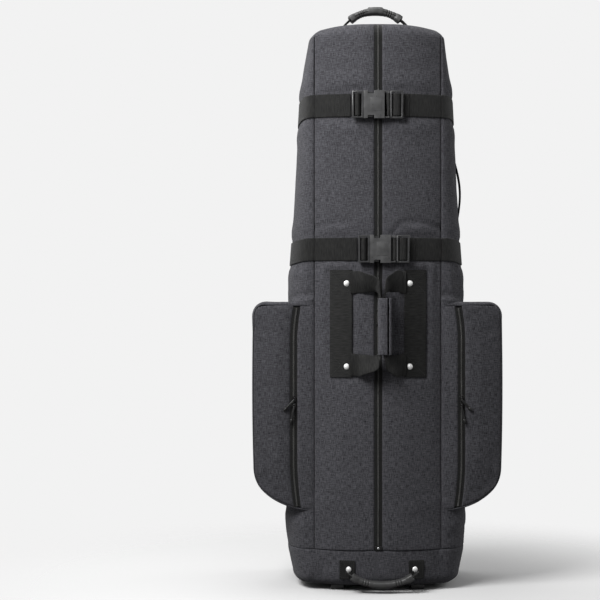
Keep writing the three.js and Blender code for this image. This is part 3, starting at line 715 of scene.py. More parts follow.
def outline_ring(z):
    """The whole outline at one height, as evenly spaced points from the front's middle round by the right."""
    right = resample(half_outline(z), np.linspace(0, 1, 56))
    return np.concatenate([right, right[-2:0:-1] * (-1, 1)])


def inward_from(ring):
    """Level directions into the body from the points of a closed outline, eased round its corners."""
    along = np.roll(ring, -1, 0) - np.roll(ring, 1, 0)
    inward = unit(np.stack([-along[:, 1], along[:, 0]], 1))
    return unit(sum(np.roll(inward, k, 0) for k in range(-3, 4)))


def towards_middle(ring, count):
    """Rings that shrink from one to the body's middle."""
    middle = np.array(INSIDE[:2], float)
    return [ring + (middle - ring) * min(share, 0.995) for share in np.linspace(0, 1, count)[1:]]


def top_panel():
    """The top: up from its seam, round its edge and over to the middle. It lies flat where the handle's
    webbing is sewn on and where its grip comes down."""
    ring = outline_ring(TOP_LEVEL)
    inward = inward_from(ring)
    inner = ring + inward * TOP_ROUND
    seam = math.asin((CAP_Z + SEW_GAP - TOP_LEVEL) / TOP_ROUND)
    by_flap = (ring[:, 1] < HINGE_Y) & (np.abs(ring[:, 0]) < SEAM_X)
    inset = np.clip(HINGE_Y + SEW_GAP - ring[:, 1], 0, TOP_ROUND - 1)
    begin = np.where(by_flap, np.maximum(seam, np.arccos(1 - inset / TOP_ROUND)), seam)
    rows, uvs = [], []
    for share in (0, 0.01, 0.03, 0.06, 0.11, 0.2, 0.32, 0.45, 0.6, 0.74, 0.87, 1):
        a = (begin + (QUARTER - begin) * share)[:, None]
        moved = ring + inward * TOP_ROUND * (1 - np.cos(a))
        rows.append(np.hstack([moved, TOP_LEVEL + (TOP_ROUND - top_sag(moved[:, :1])) * np.sin(a)]))
        uvs.append(inner - inward * TOP_ROUND * (QUARTER - a))
    for flat in towards_middle(inner, 22):
        rows.append(np.hstack([flat, top_z(flat[:, :1])]))
        uvs.append(flat)
    grid, uv = np.array(rows), np.array(uvs)
    run = lengths(grid[:, 0])[:, None]
    x, y = np.abs(grid[..., 0]), grid[..., 1]
    handle = under(x, 60, 108, 8) * under(y, -6, 32, 8)
    beside = under(x, 0, 76, 12) * under(y, -54, 78, 14)
    crown = 3.0 * np.exp(-((x / 150) ** 4 + ((y - MIDDLE_Y) / 110) ** 4))
    relief = cloth(uv + 500, 131) * smooth(run, 4, 40) + rolled(run) + crown
    relief = relief * (1 - handle) * (1 - 0.96 * beside) - 0.5 * np.maximum(handle, beside)
    panel = cap_mesh("top_panel_fabric", grid, uv, relief, INSIDE)
    return piece(panel, "case", HEATHER, ["top_panel"])


def cap_mesh(name, grid, uv, relief, inside):
    """A closed padded cap: rings of points, the last of them small enough to be one flat face."""
    rows, columns = grid.shape[:2]
    count = rows * columns
    faces = grid_faces(rows, columns, closed=True) + [tuple(range(count - columns, count))]
    rim = [(j, (j + 1) % columns, count + (j + 1) % columns, count + j) for j in range(columns)]
    return two_skins(name, grid, uv, grid_normals(grid, inside, closed=True), relief, WALL, faces, rim)


def base_boot():
    """The boot: upright below its seam, round under the base, and flat over the board."""
    rows = []
    for below in (0, 0.5, 1.3, 2.4, 4, 6, 11, 18, 26, 34, 42, 50, 57.7):
        z = BOOT_Z - SEW_GAP - below
        ring = outline_ring(z)
        rows.append(np.column_stack([ring, np.full(len(ring), z)]))
    inward = inward_from(ring)
    for a in np.linspace(0, QUARTER, 8)[1:]:
        moved = ring + inward * BASE_ROUND * (1 - math.cos(a))
        rows.append(np.column_stack([moved, np.full(len(ring), BASE_Z + BASE_ROUND * (1 - math.sin(a)))]))
    for flat in towards_middle(ring + inward * BASE_ROUND, 16):
        rows.append(np.column_stack([flat, np.full(len(ring), float(BASE_Z))]))
    grid = np.array(rows)
    down = lengths(grid[:, 0])[:, None]
    uv = np.dstack(np.broadcast_arrays(lengths(ring)[None], -down))
    uv = np.where(grid[..., 2:] < BASE_Z + 0.01, grid[..., :2] + 900, uv)
    x, y, z = np.abs(grid[..., 0] - BASE_GRIP["x"]), grid[..., 1], grid[..., 2]
    patches = under(x, 55, 100, 8) * (y < -80)
    corner = bump(x - 148 + 0.55 * (z - 60), 9) - bump(x - 128 + 0.55 * (z - 60), 9)
    raised = cloth(uv, 151, 0.8) * smooth(down, 4, 24) * (z > BASE_Z + 2)
    raised += 2.0 * corner * under(z, 30, 74, 14) * (y < 0)
    relief = raised * (1 - patches) + rolled(down)
    boot = cap_mesh("base_boot_fabric", grid, uv, relief, (0, MIDDLE_Y, 60))
    for side in SIDES.values():
        cut_box(boot, side * 140, 22.6, 93.4, 180, 0, 84.4)  # room for a wheel and its housing
    return piece(boot, "case", HEATHER, ["base_boot"], sharp=50)


BOX_FACES = [(0, 1, 3, 2), (4, 6, 7, 5), (0, 4, 5, 1), (2, 3, 7, 6), (0, 2, 6, 4), (1, 5, 7, 3)]


def cut_box(obj, x, half, y0, y1, z0, z1):
    """Cuts a box out of a closed mesh."""
    corners = [(x + i * half, y, z) for z in (z0, z1) for y in (y0, y1) for i in (-1, 1)]
    cutter = face_outwards(add_mesh("cutter", corners, BOX_FACES))
    face_outwards(obj)
    cut = obj.modifiers.new("cut", "BOOLEAN")
    cut.operation, cut.object, cut.solver = "DIFFERENCE", cutter, "EXACT"
    bake(obj)
    bpy.data.objects.remove(cutter)


def bake(obj):
    """Applies an object's modifiers to its mesh."""
    bpy.context.view_layer.update()
    shown = obj.evaluated_get(bpy.context.evaluated_depsgraph_get())
    obj.data = bpy.data.meshes.new_from_object(shown)
    obj.modifiers.clear()
    return obj


# ---- Side pockets ----
def quad_curve(a, b, c, steps=24):
    """A smooth curve from a to c that starts and ends towards b."""
    t = np.linspace(0, 1, steps)[:, None]
    return np.array(a) * (1 - t) ** 2 + 2 * np.array(b) * t * (1 - t) + np.array(c) * t**2


def turned(directions):
    """Flat directions turned a quarter to the right."""
    return np.stack([directions[:, 1], -directions[:, 0]], 1)


def pocket_seam():
    """The seam round the front of a pocket, as x and z, from its lower inner end round the outside, and the
    radius that its edge is rounded to: small below and outside, large above."""
    curves = [
        quad_curve((142, 189), (212, 196), (246, 228)),
        quad_curve((246, 228), (265, 245), (265, 276)),
        quad_curve((265, 276), (270, 430), (266, 612), 40),
        quad_curve((266, 612), (265, 628), (250, 629)),
    ]
    core = np.concatenate([[(110, 189), (142, 189)], *(curve[1:] for curve in curves), [(110, 632)]])
    moved = 1 + 10 * (1 - smooth(core[:, 1], 596, 628) * (1 - smooth(core[:, 0], 226, 262)))
    return core + turned(unit(np.gradient(core, axis=0))) * moved[:, None], POCKET_ROUND - moved


CORE, CORE_ROUND = pocket_seam()
CORNER_LOW, CORNER_HIGH = (264, 234), (264.5, 626)
POCKET_ROWS = 64  # points up each side of a pocket's front sheets
POCKET_INNER_X = SEAM_X + 0.6
POCKET_MIDDLE = (190, -20, 400)  # a point inside the right pocket


def core_between(start, end, count):
    """Evenly spaced points of the core, from its point nearest to start to its point nearest to end."""
    run = lengths(CORE)
    places = [run[np.argmin(np.linalg.norm(CORE - place, axis=1))] for place in (start, end)]
    return at_length(CORE, np.linspace(*places, count))


def core_beyond(x, count):
    """Evenly spaced lengths along the core, from where it comes out past x to where it goes back above."""
    half = len(CORE) // 2
    run = lengths(CORE)
    low = np.interp(x, CORE[:half, 0], run[:half])
    high = np.interp(-x, -CORE[half:, 0], run[half:])
    return low + (high - low) * np.linspace(0, 1, count)


def zip_x(z):
    """The pocket zip's middle line: upright for most of its length, bowed inwards at both ends."""
    return 188 - 7 * np.clip((z - 560) / 70, 0, 1) ** 1.8 - 9 * np.clip((280 - z) / 100, 0, 1) ** 1.6


def coons(bottom, top, left, right):
    """A grid over four border curves. bottom and top run left to right, left and right run upwards."""
    s = lengths(bottom)[None, :, None] / lengths(bottom)[-1]
    t = lengths(left)[:, None, None] / lengths(left)[-1]
    across = bottom[None] * (1 - t) + top[None] * t
    upwards = left[:, None] * (1 - s) + right[:, None] * s
    corners = (bottom[0] * (1 - s) + bottom[-1] * s) * (1 - t) + (top[0] * (1 - s) + top[-1] * s) * t
    return across + upwards - corners


def core_z(x, top):
    """Height of the core's lower or upper border at x."""
    half = len(CORE) // 2
    if top:
        return np.interp(-x, -CORE[half:, 0], CORE[half:, 1])
    return np.interp(x, CORE[:half, 0], CORE[:half, 1])


def beside_zip(low, high, gap):
    """Points up the pocket zip between two heights, a gap outside its middle line."""
    z = np.linspace(low, high, POCKET_ROWS)
    return np.stack([zip_x(z) + gap, z], 1)


def pocket_face(name, side, outer):
    """One of the two front sheets of a pocket: outside its zip, or between the zip and the front seam."""
    gap = 7.5
    if outer:
        foot_x, head_x = zip_x(185.0) + gap, zip_x(626.0) + gap
        low = core_between((foot_x, core_z(foot_x, False)), CORNER_LOW, 26)
        high = core_between(CORNER_HIGH, (head_x, core_z(head_x, True)), 26)[::-1]
        left = beside_zip(low[0, 1], high[0, 1], gap)
        right = core_between(CORNER_LOW, CORNER_HIGH, POCKET_ROWS)
    else:
        foot, head = (np.linspace(POCKET_INNER_X, zip_x(z) - gap, 12) for z in (178.0, 627.0))
        low, high = np.stack([foot, core_z(foot, False)], 1), np.stack([head, core_z(head, True)], 1)
        left = np.linspace(low[0], high[0], POCKET_ROWS)
        right = beside_zip(low[-1, 1], high[-1, 1], -gap)
    flat = coons(*(refine(curve) for curve in (low, high, left, right)))
    grid = np.dstack([flat[..., 0] * side, pocket_depth(flat[..., 0]), flat[..., 1]])
    sheet = sheet_uv(grid)
    edge = border_distance(sheet)
    share_u = sheet[..., 0] / sheet[:, -1:, 0]
    share_v = sheet[..., 1] / sheet[-1:, :, 1]
    full = (1 - np.abs(2 * share_u - 1) ** 2.4) * (1 - np.abs(2 * share_v - 1) ** 4)
    seed = (171 if side < 0 else 191) + (5 if outer else 0)
    raised = cloth(flat, seed, 1.1 if outer else 0.5) * smooth(edge, 2, 26)
    relief = (5.5 if outer else 1.5) * full + raised + rolled(edge, 6, 2.2) + pocket_creases(flat, outer)
    inside = (side * POCKET_MIDDLE[0], *POCKET_MIDDLE[1:])
    made = slab(name, grid, flat, 4, inside, relief)
    lines = [np.s_[4, 4:-4], np.s_[-5, 4:-4], np.s_[4:-4, 4]] + ([np.s_[4:-4, -5]] if outer else [])
    topstitch(f"{name}_thread", grid, relief, inside, lines, "case")
    # the outer front takes the darker heather, its painted shade
    return piece(made, "case", POCKET_SHADED_HEATHER if outer else HEATHER)


def pocket_depth(x):
    """The front of a pocket leans back from its zip towards its outer edge."""
    return SEAM_Y + POCKET_LEAN * smooth(x, 196, 300)


def refine(curve):
    """The same curve with points added close to its two ends."""
    total = lengths(curve)[-1]
    near = np.array([0, 0.6, 1.6, 3, 5]) / total
    inner = np.linspace(7.5 / total, 1 - 7.5 / total, len(curve))
    return resample(curve, np.concatenate([near, inner, (1 - near)[::-1]]))


def pocket_creases(flat, outer):
    """Slack in the front of a pocket: drag lines from its lower corner and soft upright folds by its zip."""
    x, z = flat[..., 0], flat[..., 1]
    if not outer:
        return 0.5 * np.sin((z - 180) / 31.0) * bump(x - 152, 9)
    drag = 1.2 * bump(z - 262 - 0.55 * (270 - x), 11) * smooth(x, 205, 255)
    high = 1.0 * bump(z - 588 + 0.5 * (270 - x), 12) * smooth(x, 200, 250)
    fold = 0.8 * bump(x - 226 - 4 * np.sin(z / 60), 8) * under(z, 300, 520, 60)
    return drag - high + fold


def pocket_gusset(name, side):
    """The band round a pocket, from the seam of its front, over the rounded edge and back to the body."""
    around = 120
    turns = [(math.radians(a), 0) for a in (2, 8, 16, 26, 38, 52, 66, 80, 90)]
    turns += [(QUARTER, share) for share in np.linspace(0, 1, 16)[1:]]
    turns += [(QUARTER + math.radians(a), 1) for a in (15, 32, 50, 68, 84)]
    rows, places = [], []
    for turn, share in turns:
        depth = SEAM_Y + (POCKET_BACK - SEAM_Y) * share
        where = core_beyond(max(POCKET_INNER_X, min(body_x(depth, 175), body_x(depth, 625)) - 2), around)
        radius = np.interp(where, lengths(CORE), CORE_ROUND)
        at = at_length(CORE, where)
        out = turned(unit(at_length(CORE, where + 2) - at_length(CORE, where - 2)))
        moved = at + out * (radius * math.sin(turn))[:, None]
        front = pocket_depth(at[:, 0]) + radius * (1 - math.cos(min(turn, QUARTER)))
        back = POCKET_BACK - radius * (1 + math.cos(max(turn, QUARTER)))
        rows.append(np.stack([moved[:, 0] * side, front + (back - front) * share, moved[:, 1]], 1))
        places.append(where)
    edge = rows[-1] * (1, 0, 1) + (0, POCKET_BACK, 0)
    spine = np.linspace(edge[0], edge[-1], around)
    spine[:, 0] = edge[0, 0]
    for share in (0.04, 0.2, 0.4, 0.6, 0.8, 0.97):
        rows.append(edge + (spine - edge) * share)
        places.append(where)
    grid = np.array(rows)
    depth = run_down(grid)
    uv = np.stack([np.array(places), depth], -1)
    ends = smooth(grid[..., 2], 560, 620) + 0.4 * (1 - smooth(grid[..., 2], 190, 260))
    raised = cloth(uv, 211 if side < 0 else 231, 1.1) * smooth(depth, 6, 40)
    relief = raised + 2.4 * bump(depth - 30, 16) * ends + rolled(depth, 6, 2.4)
    made = slab(name, grid, uv, 3.5, (side * POCKET_MIDDLE[0], *POCKET_MIDDLE[1:]), relief)
    replaced = [f"side_pocket_{'left' if side < 0 else 'right'}"]
    # the band takes the darker heather, its painted shade
    return piece(made, "case", POCKET_SHADED_HEATHER, replaced)


# ---- Webbing, thread and turned parts ----
def ribbon(name, centres, across, half, thick, uv_start=0.0, crown=0.0, count=7):
    """A closed strip of webbing along centres. across is its direction from edge to edge, one for all or one
    at each centre."""
    centres = np.asarray(centres, float)
    across = unit(np.broadcast_to(np.asarray(across, float), centres.shape))
    normal = unit(np.cross(across, unit(np.gradient(centres, axis=0))))
    share = np.concatenate([[-1, -0.975], np.linspace(-0.92, 0.92, count), [0.975, 1]])
    lift = thick / 2 * np.array([0.35, 0.85] + [1.0] * count + [0.85, 0.35])
    bow = crown * (1 - share**2)
    lifts = np.concatenate([bow + lift, bow - lift])
    wide = np.concatenate([share, share[::-1]]) * np.broadcast_to(half, len(centres))[:, None]
    points = centres[:, None] + across[:, None] * wide[..., None] + normal[:, None] * lifts[:, None]
    run = np.broadcast_to(uv_start + lengths(centres)[:, None], wide.shape)
    uvs = np.stack([wide, run], -1)
    return add_mesh(name, points.reshape(-1, 3), tube_faces(*wide.shape), uvs.reshape(-1, 2))


def strap(name, body, centres, across, half, thick, replaces=(), **shape):
    """A finished piece of black webbing."""
    made = ribbon(name, centres, across, half, thick, **shape)
    return piece(made, body, WEBBING, replaces, sharp=60)


def smooth_path(stops, count):
    """A smooth line through stops, as count points evenly spaced, with any further columns carried along."""
    stops = np.asarray(stops, float)
    padded = np.concatenate([2 * stops[:1] - stops[1:2], stops, 2 * stops[-1:] - stops[-2:-1]])
    t = np.linspace(0, 1, 16, endpoint=False)[:, None]
    line = []
    for a, b, c, d in zip(padded, padded[1:], padded[2:], padded[3:]):
        bend = (2 * a - 5 * b + 4 * c - d) * t**2 + (3 * b - a - 3 * c + d) * t**3
        line.extend(0.5 * (2 * b + (c - a) * t + bend))
    line = np.array([*line, stops[-1]])
    run = lengths(line[:, :3])
    return along_run(np.linspace(0, run[-1], count), run, line)


def tube_along(centres, radii, sides=10):
    """Points and faces of a closed round tube along centres."""
    angles = TAU * np.arange(sides)[:, None] / sides
    directions = unit(np.gradient(centres, axis=0))
    side = np.cross(directions[0], (0.3, 0.2, 0.93))
    points = []
    for centre, radius, direction in zip(centres, np.broadcast_to(radii, len(centres)), directions):
        side = unit(side - direction * np.dot(side, direction))
        points.extend(centre + radius * (side * np.cos(angles) + np.cross(direction, side) * np.sin(angles)))
    return points, tube_faces(len(centres), sides)


def merged(name, parts):
    """One object from several pairs of points and faces."""
    points, faces = [], []
    for some, quads in parts:
        faces += [tuple(len(points) + v for v in face) for face in quads]
        points.extend(some)
    return add_mesh(name, points, faces)


STITCH_FACES = [(0, 1, 2), (0, 2, 3), (0, 3, 5), (0, 5, 1), (4, 2, 1), (4, 3, 2), (4, 5, 3), (4, 1, 5)]


def stitch_row(path, out, pitch=4.2, size=2.9, proud=0.5):
    """Points and faces of a row of stitches along a path on cloth. out points away from the cloth."""
    path = np.asarray(path, float)
    out = np.broadcast_to(np.asarray(out, float), path.shape)
    run = lengths(path)
    count = max(1, int(run[-1] / pitch))
    points, faces = [], []
    for place in (np.arange(count) + 0.5) * run[-1] / count:
        start, middle, end = at_length(path, place + np.array([-size / 2, 0, size / 2]))
        up = unit(along_run(place, run, out))
        side = np.cross(unit(end - start), up) * 0.42
        sunk = up * 0.3
        faces += [tuple(len(points) + v for v in face) for face in STITCH_FACES]
        points += [start - sunk, middle + side, middle + up * proud, middle - side, end - sunk, middle - sunk]
    return points, faces


def sew(name, rows, body):
    """One piece of thread from several stitch rows."""
    return piece(merged(name, rows), body, THREAD)


AXIS_ORDER = {"z": (0, 1, 2), "x": (2, 0, 1), "y": (0, 2, 1)}


def lathed(name, profile, origin, axis="z", sides=48):
    """A turned solid from a profile of (radius, height) points about an axis through origin."""
    angles = np.linspace(0, TAU, sides, endpoint=False)
    radius, height = np.array(profile, float)[:, :, None].swapaxes(0, 1)
    rings = np.stack([radius * np.cos(angles), radius * np.sin(angles), height + 0 * angles], -1)
    closed = np.allclose(profile[0], profile[-1])
    faces = grid_faces(len(profile), sides, closed=True) if closed else tube_faces(len(profile), sides)
    made = add_mesh(name, (rings[..., AXIS_ORDER[axis]] + origin).reshape(-1, 3), faces)
    return edit_mesh(made, weld, lambda bm: bmesh.ops.dissolve_degenerate(bm, edges=bm.edges, dist=1e-6))


def mirrored(points, signs):
    """The points of half an outline and then, in reverse, those of its mirror image."""
    return np.concatenate([points, np.array(points)[::-1] * signs])


def softened(name, node, body, material, width, segments=3, angle=40, sharp=50):
    """A CAD solid's own shape with its moulded edges rounded, as the piece that stands for it."""
    made = bpy.data.objects.new(name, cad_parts[node].data.copy())
    bpy.context.scene.collection.objects.link(made)
    flat = math.radians(1)
    merge = lambda bm: bmesh.ops.dissolve_limit(bm, angle_limit=flat, verts=bm.verts, edges=bm.edges)
    round_edges(edit_mesh(made, weld, merge), width, segments, angle)
    return piece(made, body, material, [node], sharp=sharp)


# ---- Straps ----
def front_normal(x):
    """Away from the front face, level with the ground."""
    slope = 2 * CROWN * np.asarray(x, float) / SEAM_X**2
    return unit(np.stack([slope, -np.ones_like(slope), np.zeros_like(slope)], -1))


def front_path(x0, x1, z, lift, step=6):
    """Points across the front at one height, a little in front of it."""
    x = np.linspace(x0, x1, max(4, int(abs(x1 - x0) / step)))
    return np.stack([x, front_at(x) - lift, np.full_like(x, z)], 1)


UP = (0.0, 0.0, 1.0)


def strap_front(name, node, x0, x1, z, body, fold_x):
    """A front length of strap, with a sewn fold whose end shows at fold_x."""
    strap(name, body, front_path(x0, x1, z, 1.4), UP, STRAP_HALF, 2.0, [node])
    inner = x1 if abs(x1) < abs(x0) else x0
    strap(f"{name}_fold", body, front_path(inner, fold_x, z, 2.9), UP, STRAP_HALF - 0.3, 1.0, uv_start=0.7)
    rows = []
    for x in fold_x + np.sign(inner - fold_x) * np.array([4, 22]):
        column = [(x, front_at(x) - 3.5, z + s) for s in np.linspace(-STRAP_HALF + 3, STRAP_HALF - 3, 14)]
        rows.append(stitch_row(column, front_normal(x)))
    sew(f"{name}_thread", rows, body)


def strap_band(name, z):
    """The strap's run round the sides and back, from one front seam to the other, leaning with the body."""
    edges = []
    for height in (z - STRAP_HALF, z + STRAP_HALF):
        curve, seam, _, end = side_span(height, -1.9)
        lower = side_span(height - STRAP_SAG, -1.9)[0]
        beyond = (end - seam - SEW_GAP) * np.linspace(0, 1, 70)
        place = seam + SEW_GAP + beyond
        hung = strap_sag(beyond)[:, None] / STRAP_SAG
        right = at_length(curve, place) * (1 - hung) + at_length(lower, place) * hung
        right = np.hstack([right, height - hung * STRAP_SAG])
        edges.append(np.concatenate([right, right[-2::-1] * (-1, 1, 1)]))
    low, high = edges
    strap(name, "case", (low + high) / 2, high - low, STRAP_HALF, 2.0, [name.replace("_webbing", "")])


# ---- Zips ----
def main_zip_line(depth=1.0, count=220):
    """The zip's line up the front and over the top's edge, a depth below the fabric, and its normals."""
    start = BOOT_Z + SEW_GAP
    radius = TOP_ROUND - depth
    straight = TOP_LEVEL - start
    run = np.linspace(0, straight + radius * math.acos((FRONT_Y + TOP_ROUND - HINGE_Y) / radius), count)
    a = np.maximum(0, run - straight) / radius
    y = FRONT_Y + TOP_ROUND - radius * np.cos(a)
    z = np.where(run < straight, start + run, TOP_LEVEL + radius * np.sin(a))
    return np.stack([np.zeros(count), y, z], 1), np.stack([np.zeros(count), -np.cos(a), np.sin(a)], 1)


def pocket_zip_line(side, depth=1.0, count=90):
    """A pocket zip's line, a depth below the fabric, and its outward normals."""
    z = np.linspace(core_z(179.0, False) + 2, core_z(181.0, True) - 2, count)
    points = np.stack([side * zip_x(z), np.full(count, SEAM_Y + depth), z], 1)
    return points, np.tile((0.0, -1.0, 0.0), (count, 1))


def teeth(line, normals, side, pitch, shift):
    """Half of a zip's coil, on one side of its line: one small rounded loop for each tooth."""
    run = lengths(line)
    places = np.arange(pitch * (1 + shift), run[-1] - pitch, pitch)
    at = at_length(line, places)
    out = along_run(places, run, normals)
    along = unit(np.gradient(at, axis=0))
    across = np.cross(along, out)
    across *= np.sign(across[:, :1]) * side
    loop = [(-0.9, 0.5, -0.2), (-0.6, 0.95, 0.15), (1.0, 0.85, 0.35), (2.1, 0.7, 0.1), (2.5, 0.3, -0.5)]
    corners = 0.75 * np.array([(math.cos(a), 0.8 * math.sin(a)) for a in np.arange(6) * TAU / 6])
    parts = []
    for place, up, ahead, aside in zip(at, out, along, across):
        rings = []
        for x, thick, lift in loop:
            middle = place + aside * x + up * lift
            rings += [middle + (ahead * i + up * j) * thick for i, j in corners]
        parts.append((rings, tube_faces(len(loop), len(corners))))
    return parts


def zip_halves(name, line, normals, half, body_of, replaced):
    """Two tapes that meet at a line, each with its half of the coil."""
    across = unit(np.cross(np.gradient(line, axis=0), normals))
    across *= np.sign(across[:, :1])
    for which, side in SIDES.items():
        centres = line + across * side * (half / 2 + 0.25) - normals * 0.8
        tape = ribbon(f"{name}_tape_{which}", centres, across, half / 2 - 0.1, 0.9, count=5)
        piece(tape, body_of[which], TAPE, replaced.get(which, ()), sharp=60)
        coil = merged(f"{name}_coil_{which}", teeth(line, normals, side, 2.2, 0.5 if side > 0 else 0))
        piece(coil, body_of[which], COIL)


def all_zips():
    """The main zip with its bottom stop, and the two pocket zips."""
    bodies = {which: f"{which}_flap" for which in SIDES}
    zip_halves("main_zip", *main_zip_line(), 8.4, bodies, {which: [f"zip_tape_{which}"] for which in SIDES})
    stop_z = BOOT_Z + 5.5
    strap("main_zip_stop", "left_flap", front_path(-8.4, 8.4, stop_z, 0.9, 2), UP, 4.6, 1.6)
    head = [(0.01, -1.6), (1.6, -1.5), (2.5, -1.1), (2.9, -0.4), (2.9, 0.4), (0.01, 0.4)]
    stud = lathed("main_zip_stop_stud", head, (0, FRONT_Y - 0.6, stop_z), "y", 24)
    piece(stud, "left_flap", STEEL, sharp=40)
    for which, side in SIDES.items():
        replaced = {"right": [f"pocket_zip_{which}"]}
        zip_halves(f"pocket_zip_{which}", *pocket_zip_line(side), 8.6, dict.fromkeys(SIDES, "case"), replaced)


def plate(name, outline, y0, y1):
    """A flat part cut from an outline of x and z, between two depths, with rounded edges."""
    points = [(x, y, z) for y in (y0, y1) for x, z in outline]
    return round_edges(face_outwards(add_mesh(name, points, tube_faces(2, len(outline)))), 0.5)


def round_edges(made, width, segments=3, angle=35):
    """Rounds the edges of a mesh that are sharper than an angle in degrees."""
    bevel = made.modifiers.new("edges", "BEVEL")
    bevel.width = width * MM
    bevel.segments = segments
    bevel.limit_method = "ANGLE"
    bevel.angle_limit = math.radians(angle)
    bake(made)
    made.data.shade_smooth()
    return made


def join(name, objects):
    """One object from several meshes."""
    bm = bmesh.new()
    for obj in objects:
        bm.from_mesh(obj.data)
    mesh = bpy.data.meshes.new(name)
    bm.to_mesh(mesh)
    bm.free()
    for obj in objects:
        bpy.data.objects.remove(obj)
    mesh.shade_smooth()
    made = bpy.data.objects.new(name, mesh)
    bpy.context.scene.collection.objects.link(made)
    return made


def slider(name, node, x, front, z, body, pull_to, cord):
    """A zip slider: a waisted shield with a bridge, and a pull, either a moulded tab or a knotted cord."""
    at = np.array([x, front, z])
    shield = mirrored([(2.6, 6.6), (4.2, 5.6), (4.3, 1.0), (3.0, -5.0), (1.8, -6.2)], (-1, 1)) + (x, z)
    arch = at + [(0, -1.6, 4.6), (0, -3.6, 3.4), (0, -4.0, 0), (0, -3.6, -3.2), (0, -1.6, -4.6)]
    bridge = merged("bridge", [tube_along(smooth_path(arch, 18), 0.95, 8)])
    made = join(name, [plate("shield", shield, front - 2.2, front + 0.4), bridge])
    piece(made, body, SLIDER, [node], sharp=50)
    across, down = pull_to
    if not cord:
        tab = mirrored([(-2.17, 0), (-3.1, -5), (-3.1, down + 3), (-1.86, down)], (-1, 1)) + (x, z)
        piece(plate(f"{name}_tab", tab, front - 4.6, front - 3.0), body, BUCKLE, sharp=50)
        return
    start, end = at + (0, -3.4, -0.5), at + (across, -4.4, down)
    parts = []
    for aside in (np.array([-1.3, 0, -0.7]), np.array([1.3, 0, 0.7])):
        stops = [start + aside * 0.2, (start + end) / 2 + aside + (0, -0.6, 0), end + aside * 0.6]
        parts.append(tube_along(smooth_path(stops, 26), 1.6, 8))
    knot = smooth_path([end + unit(end - start) * t for t in (-1.5, 0.5, 3, 5.5, 8, 9.5)], 14)
    swell = np.interp(np.linspace(0, 1, len(knot)), [0, 0.25, 0.7, 1], [1.7, 3.8, 3.3, 1.6])
    parts.append(tube_along(knot, swell))
    piece(merged(f"{name}_cord", parts), body, CORD)


def all_sliders():
    """The two main sliders with their tabs, and the four pocket sliders with their cords."""
    for level, pocket_pull in (("upper", (17, -19)), ("lower", (6, -30))):
        node, body = f"main_slider_{level}", f"{level}_main_slider"
        _, _, _, y1, _, z1 = span(node)
        slider(f"main_slider_body_{level}", node, 0, y1 - 0.2, z1 - 6, body, (0, -22), False)
        for which, side in SIDES.items():
            node = f"pocket_slider_{level}_{which}"
            x0, x1, _, y1, _, z1 = span(node)
            name, body = f"pocket_slider_body_{level}_{which}", f"{which}_{level}_pocket_slider"
            pull_to = (side * pocket_pull[0], pocket_pull[1])
            slider(name, node, (x0 + x1) / 2, y1 - 0.1, z1 - 5.5, body, pull_to, True)


# ---- Carry handle ----
RIVETS_X = 70
RIVETS_Z = {"low": 501, "high": 686}
CARRY_IN, CARRY_OUT = 57, 108


def rivet(name, x, y, z, body):
    """A domed rivet cap on its washer, facing the front."""
    profile = [(0.01, -3.9), (2.4, -3.6), (4.3, -2.9), (5.0, -2.2), (5.3, -1.4), (6.2, -1.2), (6.6, -0.7)]
    profile += [(6.6, 0.4), (0.01, 0.4)]
    return piece(lathed(name, profile, (x, y, z), "y", 32), body, RIVET, sharp=40)


def carry_patch(which, side):
    """A sewn webbing patch of the carry handle, with a stitched cross and a rivet at each end."""
    z0, z1 = span(f"carry_patch_{which}")[4:]
    body = f"{which}_flap"
    middle = side * (CARRY_IN + CARRY_OUT) / 2
    half = (CARRY_OUT - CARRY_IN) / 2
    across = unit(np.array([1, 2 * CROWN * middle / SEAM_X**2, 0]))
    out = np.array([across[1], -across[0], 0])
    z = np.linspace(z0, z1, 48)
    centres = np.stack([np.full_like(z, middle), front_at(middle) - 1.5 + 0.5 * np.sin(z / 34), z], 1)
    name, node = f"carry_patch_webbing_{which}", f"carry_patch_{which}"
    strap(name, body, centres, across, half, 2.2, [node], crown=0.9, count=11)

    def sewn(start, end, count):
        """A row of stitches between two places on the patch, each given across it and by height."""
        places = np.linspace(start, end, count)
        lift = 1.4 + 0.9 * (1 - (places[:, :1] / half) ** 2)
        line = centres[0] * (1, 1, 0) + across * places[:, :1] + out * lift + (0, 0, 1) * places[:, 1:]
        return stitch_row(line, out)

    edge = half - 3
    rows = [sewn((u, z0 + 3), (u, z1 - 3), 60) for u in (-edge, edge)]
    rows += [sewn((-edge, v), (edge, v), 14) for v in (z0 + 3, z0 + 52, z1 - 52, z1 - 3)]
    for low, high in ((z0 + 4, z0 + 51), (z1 - 51, z1 - 4)):
        rows += [sewn((-edge, a), (edge, b), 20) for a, b in ((low, high), (high, low))]
    sew(f"carry_patch_thread_{which}", rows, body)
    for place, height in RIVETS_Z.items():
        rivet(f"carry_rivet_{place}_{which}", side * RIVETS_X, front_at(RIVETS_X) - 2.6, height, body)


